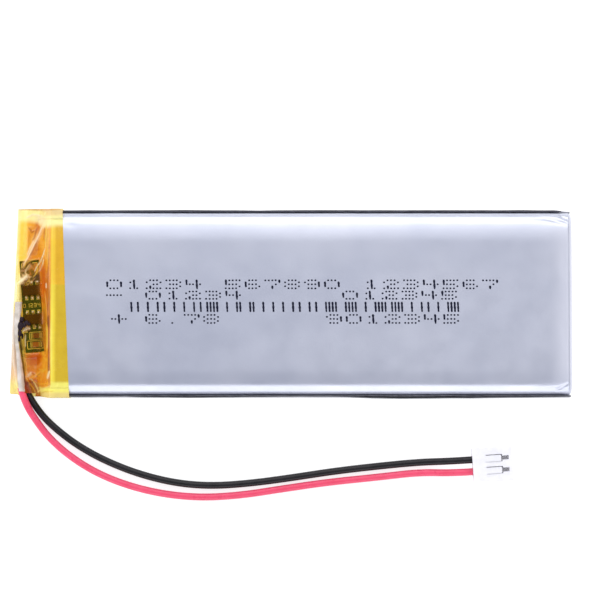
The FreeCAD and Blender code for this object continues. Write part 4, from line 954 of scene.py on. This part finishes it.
def film_look(x, y, where):
    """(colour, layer) of the film at a point: doubled and orange over the terrace, golden over the body, with painted
    highlights and painted shade on its edges, wrinkles and folds.
    """
    gold, bright, orange, deep = (1.0, 0.60, 0.026), (1.0, 0.78, 0.12), (0.86, 0.27, 0.010), (0.56, 0.12, 0.004)
    if where != "top":
        return bright, 0.45
    body = smooth(-40.62, -40.48, x)
    left = 1 - smooth(-45.45, -44.75, x - 0.015 * y + 0.12 * wave(y, 2.0, 0, 1.6, 5.1))
    bx, by = board_xy(x, y)
    board = (1 - smooth(1.58, 1.72, abs(bx))) * (1 - smooth(7.66, 7.84, abs(by)))
    n = wave(x * 1.5, y * 0.7, 0, 1.5, 8.3) + 0.5 * wave(x * 1.6, y, 0, 0.5, 2.9)
    dark, pale = smooth(0.1, 0.75, n), smooth(0.0, 0.7, -n)
    col, layer = list(orange), 0.90

    def to(c, lay, k):
        nonlocal col, layer
        k = min(1.0, max(0.0, k))
        col = [p * (1 - k) + q * k for p, q in zip(col, c)]
        layer = layer * (1 - k) + lay * k

    to(deep, 0.88, 0.55 * dark)
    to((0.98, 0.50, 0.030), 0.92, 0.75 * pale)
    to((0.96, 0.46, 0.030), 0.92, 0.55 * smooth(5.0, 9.0, y) * (1 - dark))
    to((0.72, 0.135, 0.006), 0.90, 0.5 * (1 - smooth(-8.6, -8.0, y)) * smooth(-10.6, -9.8, y) * (1 - smooth(-43.0, -42.3, x)))
    # thinner over the board, so that it shows
    to(col, 0.035, board)
    to((0.66, 0.20, 0.02), 0.07, board * smooth(-3.7, -4.2, by) * (1 - smooth(-6.9, -7.2, by)))
    to((0.86, 0.28, 0.010), 0.62, (0.35 + 0.65 * smooth(-0.25, 0.35, wave(x * 1.4, y, 0, 0.7, 3.3))) * board * smooth(4.7, 5.5, by) * smooth(-0.5, 0.3, bx) * (1 - smooth(7.0, 7.5, by)))
    to((0.30, 0.07, 0.01), 0.30, board * smooth(3.9, 4.3, by) * (1 - smooth(5.0, 5.6, by)) * smooth(0.2, 0.8, bx))
    to(bright, 0.55, left * (1 - board))
    to((1.0, 0.88, 0.32), 0.80, left * (1 - board) * smooth(0.9, 0.2, y - 4.6) * smooth(0.0, 0.6, y))
    # the slope down from the cell's end: painted highlights as lighter streaks, then a thin line of painted shade at
    # its top
    slope = smooth(-42.6, -41.6, x) * (1 - body) * (1 - board)
    to((0.95, 0.42, 0.03), 0.90, slope * (0.25 + 0.65 * smooth(-0.2, 0.4, wave(x * 5, y * 0.5, 0, 1.4, 5.5))))
    line = math.exp(-((x + 40.80) / 0.10) ** 2) * smooth(0.0, -3.0, y - 4.0)
    to((0.36, 0.08, 0.008), 0.92, 0.85 * line)
    lower = 1 - smooth(1.8, 2.1, y + 0.03 * x)
    m = 0.5 + 0.5 * wave(x * 1.3, y * 0.35, 0, 1.6, 3.9)
    g = [p * (1 - lower) + q * lower for p, q in zip((1.0, 0.56, 0.020), (0.92, 0.63, 0.024))]
    g = [q * (0.88 + 0.14 * m) for q in g]
    to(g, 0.74 - 0.12 * lower, body)
    # painted highlight along the cell's rounded end under the film, and a brighter painted highlight line on the step's
    # edge
    rim_painted_highlight = body * (1 - smooth(-40.05, -39.55, x))
    to([p * (1 - lower) + q * lower for p, q in zip((1.0, 0.66, 0.040), (1.0, 0.79, 0.060))], 0.90, 0.85 * rim_painted_highlight)
    to((1.0, 0.90, 0.12), 0.92, 0.85 * math.exp(-((x + 40.33) / 0.12) ** 2) * (0.4 + 0.6 * smooth(6.0, -2.0, y)))
    # shoulders: painted highlights where the film turns down
    far = smooth(-43.2, -42.2, x)
    if y > 0:
        wob = 0.25 * wave(x, 0, 0, 2.2, 4.4)
        edge = smooth(13.3 - 0.9 * far + wob, 14.35 - 0.9 * far + wob, y)
        to((1.0, 0.93, 0.36), 0.90, edge)
        to((1.0, 0.82, 0.50), 0.88, 0.9 * edge * math.exp(-((x + 42.4) / 1.2) ** 2) * (1 - smooth(14.2, 15.2, y)))
        to((0.86, 0.60, 0.26), 0.88, 0.8 * smooth(14.3, 15.1, y) * smooth(-43.6, -41.0, x))
        to((0.62, 0.26, 0.06), 0.88, 0.75 * smooth(15.45, 15.8, y - 0.09 * math.cos((x + 46) * 0.8)) * (1 - smooth(-39.6, -38.4, x)))
    else:
        edge = smooth(13.75 - 0.9 * body, 14.2 - 0.75 * body, -y)
        to((1.0, 0.92, 0.17), 0.90, edge * smooth(-43.6, -42.9, x + 0.3 * (y + 14)))
        to((0.90, 0.68, 0.24), 0.86, 0.8 * smooth(14.5, 15.2, -y) * smooth(-43.4, -42.0, x))
        tail = (1 - smooth(-0.05, 0.1, x - strip_sides(y)[0])) * smooth(-0.5, -2.5, y)
        low_k = smooth(-11.5, -14.0, y)
        mid_k = smooth(-9.6, -11.6, y)
        warm = [p * (1 - mid_k) + q * mid_k for p, q in zip((0.70, 0.47, 0.28), (0.90, 0.60, 0.34))]
        to([p * (1 - low_k) + q * low_k for p, q in zip(warm, (1.0, 0.86, 0.30))], 0.90, tail)
        to((0.70, 0.62, 0.52), 0.92, tail * (1 - smooth(-5.8, -7.6, -y * -1.0)) * 0.75)
    # deep folds over the leads' way out: bunched film, darkened further with painted shade
    out_zone = smooth(-12.2, -13.3, y) * (1 - smooth(-43.0, -42.4, x + 0.25 * (y + 14))) * smooth(-45.6, -45.0, x)
    to((0.40, 0.045, 0.004), 0.72, 0.9 * out_zone)
    to((1.0, 0.92, 0.46), 0.84, 0.75 * (1 - smooth(0.1, 0.75, x - skew(True, y))) * smooth(-1.0, 1.0, y))
    for t in FOLDS_AND_PAINTED_LIGHT:
        k = along(x, y, t)
        if k > 0.002:
            to(t[7], t[8], t[9] * k)
    return col, layer

loop = []   # positions across the cell: (kind, y or z)
for y in np.linspace(-15.66, 15.86, 300):
    loop.append(("top", float(y)))
for k in range(1, 10):
    loop.append(("back", k / 10))
for y in np.linspace(15.86, -15.66, 44):
    loop.append(("bottom", float(y)))
for k in range(1, 10):
    loop.append(("front", k / 10))
NX = 110
tape_v, tape_c, tape_l, kinds = [], [], [], []
for i in range(NX + 1):
    t = i / NX
    for kind, q in loop:
        if kind in ("top", "bottom"):
            y = q
        else:
            y = 15.86 if kind == "back" else -15.66
        left, right = skew(True, y), skew(False, y)
        if kind != "top":
            left += 0.12
        ragged = 0.05 * wave(y, 0, 0, 3.0, 2.0)
        xx = left + (right - left) * t + ragged * (1 - t)
        if kind == "top":
            z = skin(xx, y)
        elif kind == "bottom":
            z = 0.03 + (0.004 * (1 + wave(xx, y, 0, 2.0, 3.3)))
            if xx < -44.9:
                z += 0.05 * smooth(-44.9, -46.4, xx)
        else:
            top = skin(xx, y)
            low = 0.03
            z = top + (low - top) * (q if kind == "back" else 1 - q)
            bow = 4 * q * (1 - q)
            inward = 0.0 if xx > -41.0 else smooth(-41.0, -43.0, xx)
            y += (-1 if kind == "back" else 1) * bow * 0.35 * inward
            y += 0.03 * wave(xx, z, 0, 1.5, 5.0) * inward
        c, l = film_look(xx, y, kind)
        away = smooth(-40.7, -43.0, xx) if xx < -40.7 else 0.0
        y += 0.27 * away * smooth(11.0, 15.7, abs(y))
        if y < -14.0 and xx < -45.6:
            y += 0.45 * smooth(-45.6, -46.6, xx) * smooth(14.0, 15.66, -y)
        tape_v.append((xx, y, z))
        tape_c.append(c)
        tape_l.append(l)
        kinds.append(kind)
m = len(loop)
faces = []
for f in grid_faces(NX + 1, m, 0, wrap_v=True):
    c = [tape_v[k] for k in f]
    cx = sum(p[0] for p in c) / 4
    cy = sum(p[1] for p in c) / 4
    cz = sum(p[2] for p in c) / 4
    ks = {kinds[k] for k in f}
    # the mouth where the leads come out
    if cy < -14.9 and cx < -43.35 and (ks & {"front"} or (cz > 0.3 and "top" in ks)):
        continue
    faces.append(f)
used = sorted({k for f in faces for k in f})
remap_index = {k: n for n, k in enumerate(used)}
tape = mesh_object("tape_film", [tape_v[k] for k in used], [tuple(remap_index[k] for k in f) for f in faces], M_TAPE)
# the film's colour, with its painted highlights and painted shade
shades = tape.data.color_attributes.new("tint_with_painted_light", "FLOAT_COLOR", "POINT")
shades.data.foreach_set("color", [c for k in used for c in (*tape_c[k], 1.0)])
layers = tape.data.attributes.new("layer", "FLOAT", "POINT")
layers.data.foreach_set("value", [tape_l[k] for k in used])
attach(tape, "root"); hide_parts("tape_wrap")


# ------------------------------------------------------------------ leads
def lead(name, pts, material, radius=0.6):
    cu = bpy.data.curves.new(name, "CURVE")
    cu.dimensions = "3D"
    sp = cu.splines.new("NURBS")
    sp.points.add(len(pts) - 1)
    for p, (x, y, z) in zip(sp.points, pts):
        p.co = (x * MM, y * MM, z * MM, 1.0)
    sp.order_u = 3
    sp.use_endpoint_u = True
    sp.resolution_u = 24
    cu.bevel_depth = radius * MM
    cu.bevel_resolution = 10
    cu.use_fill_caps = True
    ob = bpy.data.objects.new(name, cu)
    scene.collection.objects.link(ob)
    cu.materials.append(material)
    return ob


red = lead("red_wire", RED, M_RED)
black = lead("black_wire", BLACK, M_BLACK)
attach(red, "root"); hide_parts("red_lead", "red_conductor")
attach(black, "root"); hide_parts("black_lead", "black_conductor")


def bare_end(name, points, radius=0.2):
    """The tinned strands of a lead where its insulation ends, up to their pad."""
    ctrl = [Vector(q) for q in points]
    line = [ctrl[0]]
    for a, b, c in zip(ctrl, ctrl[1:], ctrl[2:]):
        start, stop = a.lerp(b, 0.62), b.lerp(c, 0.38)
        for k in range(1, 9):
            t = k / 8
            line.append(start.lerp(b, t).lerp(b.lerp(stop, t), t))
    line.append(ctrl[-1])
    v, f, around = [], [], 14
    side = Vector((0, 0, 1))
    for i, q in enumerate(line):
        way = (line[min(i + 1, len(line) - 1)] - line[max(i - 1, 0)]).normalized()
        side = (side - way * side.dot(way)).normalized()
        other = way.cross(side)
        for k in range(around):
            a = 2 * math.pi * k / around
            r = radius * (1 + 0.05 * math.cos(7 * a + i * 0.6))
            v.append(tuple(q + side * (r * math.cos(a)) + other * (r * math.sin(a))))
    f += grid_faces(len(line), around, 0, wrap_v=True)
    f.append(tuple(range(around)))
    f.append(tuple(reversed(range(len(v) - around, len(v)))))
    piece = mesh_object(name, v, f, M_TIN)
    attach(piece, "root")
    return piece


bare_end("red_bare_strands", [(-45.0, 4.40, 1.96), (-46.09, 3.30, 2.2), (-46.2, 0.9, 2.2), (-46.21, -0.2, 2.2)])
bare_end("black_bare_strands", [(-44.96, -4.32, 1.96), (-45.5, -4.42, 1.96), (-46.217, -6.0, 0.74), (-46.2, -6.9, 0.74),
                                (-46.19, -7.4, 0.74)])

# ------------------------------------------------------------------ white strip over the leads
def strip_piece():
    n, w = 110, 12
    v, f = [], []
    for layer in (0, 1):
        for i in range(n + 1):
            y = 0.36 - 14.98 * i / n
            left, right = strip_sides(y)
            for j in range(w + 1):
                xx = left + (right - left) * j / w
                z = skin(xx, y) + 0.12
                v.append((xx, y, z - 0.07 * layer))
    m = (n + 1) * (w + 1)
    f += [tuple(reversed(q)) for q in grid_faces(n + 1, w + 1)]
    f += grid_faces(n + 1, w + 1, m)
    nw = w + 1
    ring = [i for i in range(nw)] + [u * nw + w for u in range(1, n + 1)] + \
        [n * nw + k for k in range(w - 1, -1, -1)] + [u * nw for u in range(n - 1, 0, -1)]
    for a, b in zip(ring, ring[1:] + ring[:1]):
        f.append((a, b, b + m, a + m))
    return mesh_object("white_strip_over_leads", v, f, M_STRIP)


strip = weld(strip_piece(), 1e-7)
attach(strip, "root"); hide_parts("lead_cover_strip")


# ------------------------------------------------------------------ printed outlines on the board
def on_board(u, v, z):
    return (-43.9 + u * math.cos(TURN) - v * math.sin(TURN), -0.33 + u * math.sin(TURN) + v * math.cos(TURN), z)


silk_v, silk_f = [], []


def printed_bar(u0, v0, u1, v1, w=0.055):
    """A printed line of the board from one point to the other."""
    du, dv = u1 - u0, v1 - v0
    n = math.hypot(du, dv)
    du, dv = du / n * w, dv / n * w
    base = len(silk_v)
    for z in (1.622, 1.642):
        for u, v in ((u0 - du - dv, v0 - dv + du), (u0 - du + dv, v0 - dv - du),
                     (u1 + du + dv, v1 + dv - du), (u1 + du - dv, v1 + dv + du)):
            silk_v.append(on_board(u, v, z))
    silk_f.append((base, base + 3, base + 2, base + 1))
    silk_f.append((base + 4, base + 5, base + 6, base + 7))
    for k in range(4):
        silk_f.append((base + k, base + (k + 1) % 4, base + 4 + (k + 1) % 4, base + 4 + k))


for u0, v0, u1, v1 in ((-0.78, -5.55, 1.55, -4.34), (-1.25, -7.1, 1.52, -5.78)):
    printed_bar(u0, v0, u1, v0)
    printed_bar(u1, v0, u1, v1)
    printed_bar(u1, v1, u0, v1)
    printed_bar(u0, v1, u0, v0)
for u in (-1.3, 1.3):
    printed_bar(u, 7.3, u, 6.6)
printed_bar(-1.3, 7.3, -0.6, 7.3)
printed_bar(0.6, 7.3, 1.3, 7.3)
SEGMENTS = {"0": "abcdef", "1": "bc", "2": "abged", "3": "abgcd", "4": "fgbc"}
for k, digit in enumerate("01234"):
    cu, cv, hw, hh = -1.28 + 0.61 * k, 0.18, 0.17, 0.29
    ends = {"a": (-hw, hh, hw, hh), "b": (hw, hh, hw, 0), "c": (hw, 0, hw, -hh), "d": (-hw, -hh, hw, -hh),
            "e": (-hw, 0, -hw, -hh), "f": (-hw, hh, -hw, 0), "g": (-hw, 0, hw, 0)}
    for part in SEGMENTS[digit]:
        u0, v0, u1, v1 = ends[part]
        printed_bar(cu + u0, cv + v0, cu + u1, cv + v1, 0.045)
silk = mesh_object("board_print", silk_v, silk_f, M_SILK, smooth_faces=False)
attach(silk, "root")

# ------------------------------------------------------------------ scorched flux round the black lead's joint
flux_v, flux_f = [], []
for cx_, cy_, rx_, ry_, lift in ((-45.55, -2.6, 0.42, 0.50, 0.34), (-45.75, -3.7, 0.50, 0.75, 0.40), (-45.25, -3.5, 0.50, 0.45, 0.34),
                                 (-44.75, -3.1, 0.45, 0.36, 0.26), (-44.35, -3.35, 0.36, 0.28, 0.2), (-45.85, -4.9, 0.34, 0.62, 0.36),
                                 (-45.95, -5.9, 0.24, 0.42, 0.30), (-45.5, -5.35, 0.2, 0.5, 0.2)):
    top = max(skin(cx_ + a_ * rx_ * 0.6, cy_ + b_ * ry_ * 0.6) for a_ in (-1, 0, 1) for b_ in (-1, 0, 1)) + lift
    start, rings, around = len(flux_v), 9, 22
    for r in range(rings + 1):
        h = r / rings * math.pi
        for k in range(around):
            a_ = 2 * math.pi * k / around
            rough_ = 1 + 0.16 * wave(cx_ + math.cos(a_), cy_ + math.sin(a_), h, 0.5, 3.0)
            flux_v.append((cx_ + rx_ * math.sin(h) * math.cos(a_) * rough_, cy_ + ry_ * math.sin(h) * math.sin(a_) * rough_,
                           top - 0.34 + 0.34 * math.cos(h)))
    flux_f += grid_faces(rings + 1, around, start, wrap_v=True)
M_FLUX = plain("flux_residue", (0.008, 0.004, 0.007), (0.035, 0.016, 0.026), (0.3, 0.55), colour_size=0.25, grain=0.12,
               depth=0.03, specular=0.2)
flux = weld(mesh_object("flux_residue", flux_v, flux_f, M_FLUX), 1e-6)
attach(flux, "root")

# ------------------------------------------------------------------ CAD nodes that stay: better materials
def dress(name, material):
    o = nodes[name]
    for s in o.material_slots:
        s.link = "OBJECT"
        s.material = material


for name, material in (
        ("positive_electrode", M_CATHODE), ("negative_electrode", M_COPPER), ("separator_inner", M_SEPARATOR),
        ("separator_outer", M_SEPARATOR), ("winding_stop_tape", M_STOP), ("positive_tab", M_ALU),
        ("negative_tab", M_NICKEL), ("positive_tab_film", M_SEALANT), ("negative_tab_film", M_SEALANT),
        ("terrace_insulation", M_INSULATION), ("circuit_board", M_BOARD), ("board_pads", M_TIN),
        ("mosfet_body", M_CHIP), ("mosfet_leads", M_PIN), ("protection_ic_body", M_CHIP),
        ("protection_ic_leads", M_PIN), ("resistor_body", M_RESISTOR), ("resistor_caps", M_PIN),
        ("capacitor_body", M_CERAMIC), ("capacitor_caps", M_PIN), ("positive_link_strip", M_NICKEL),
        ("negative_link_strip", M_NICKEL), ("solder_joints", M_SOLDER), ("plug_housing", M_NYLON), ("positive_contact", M_CONTACT),
        ("negative_contact", M_CONTACT)):
    dress(name, material)

low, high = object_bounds()
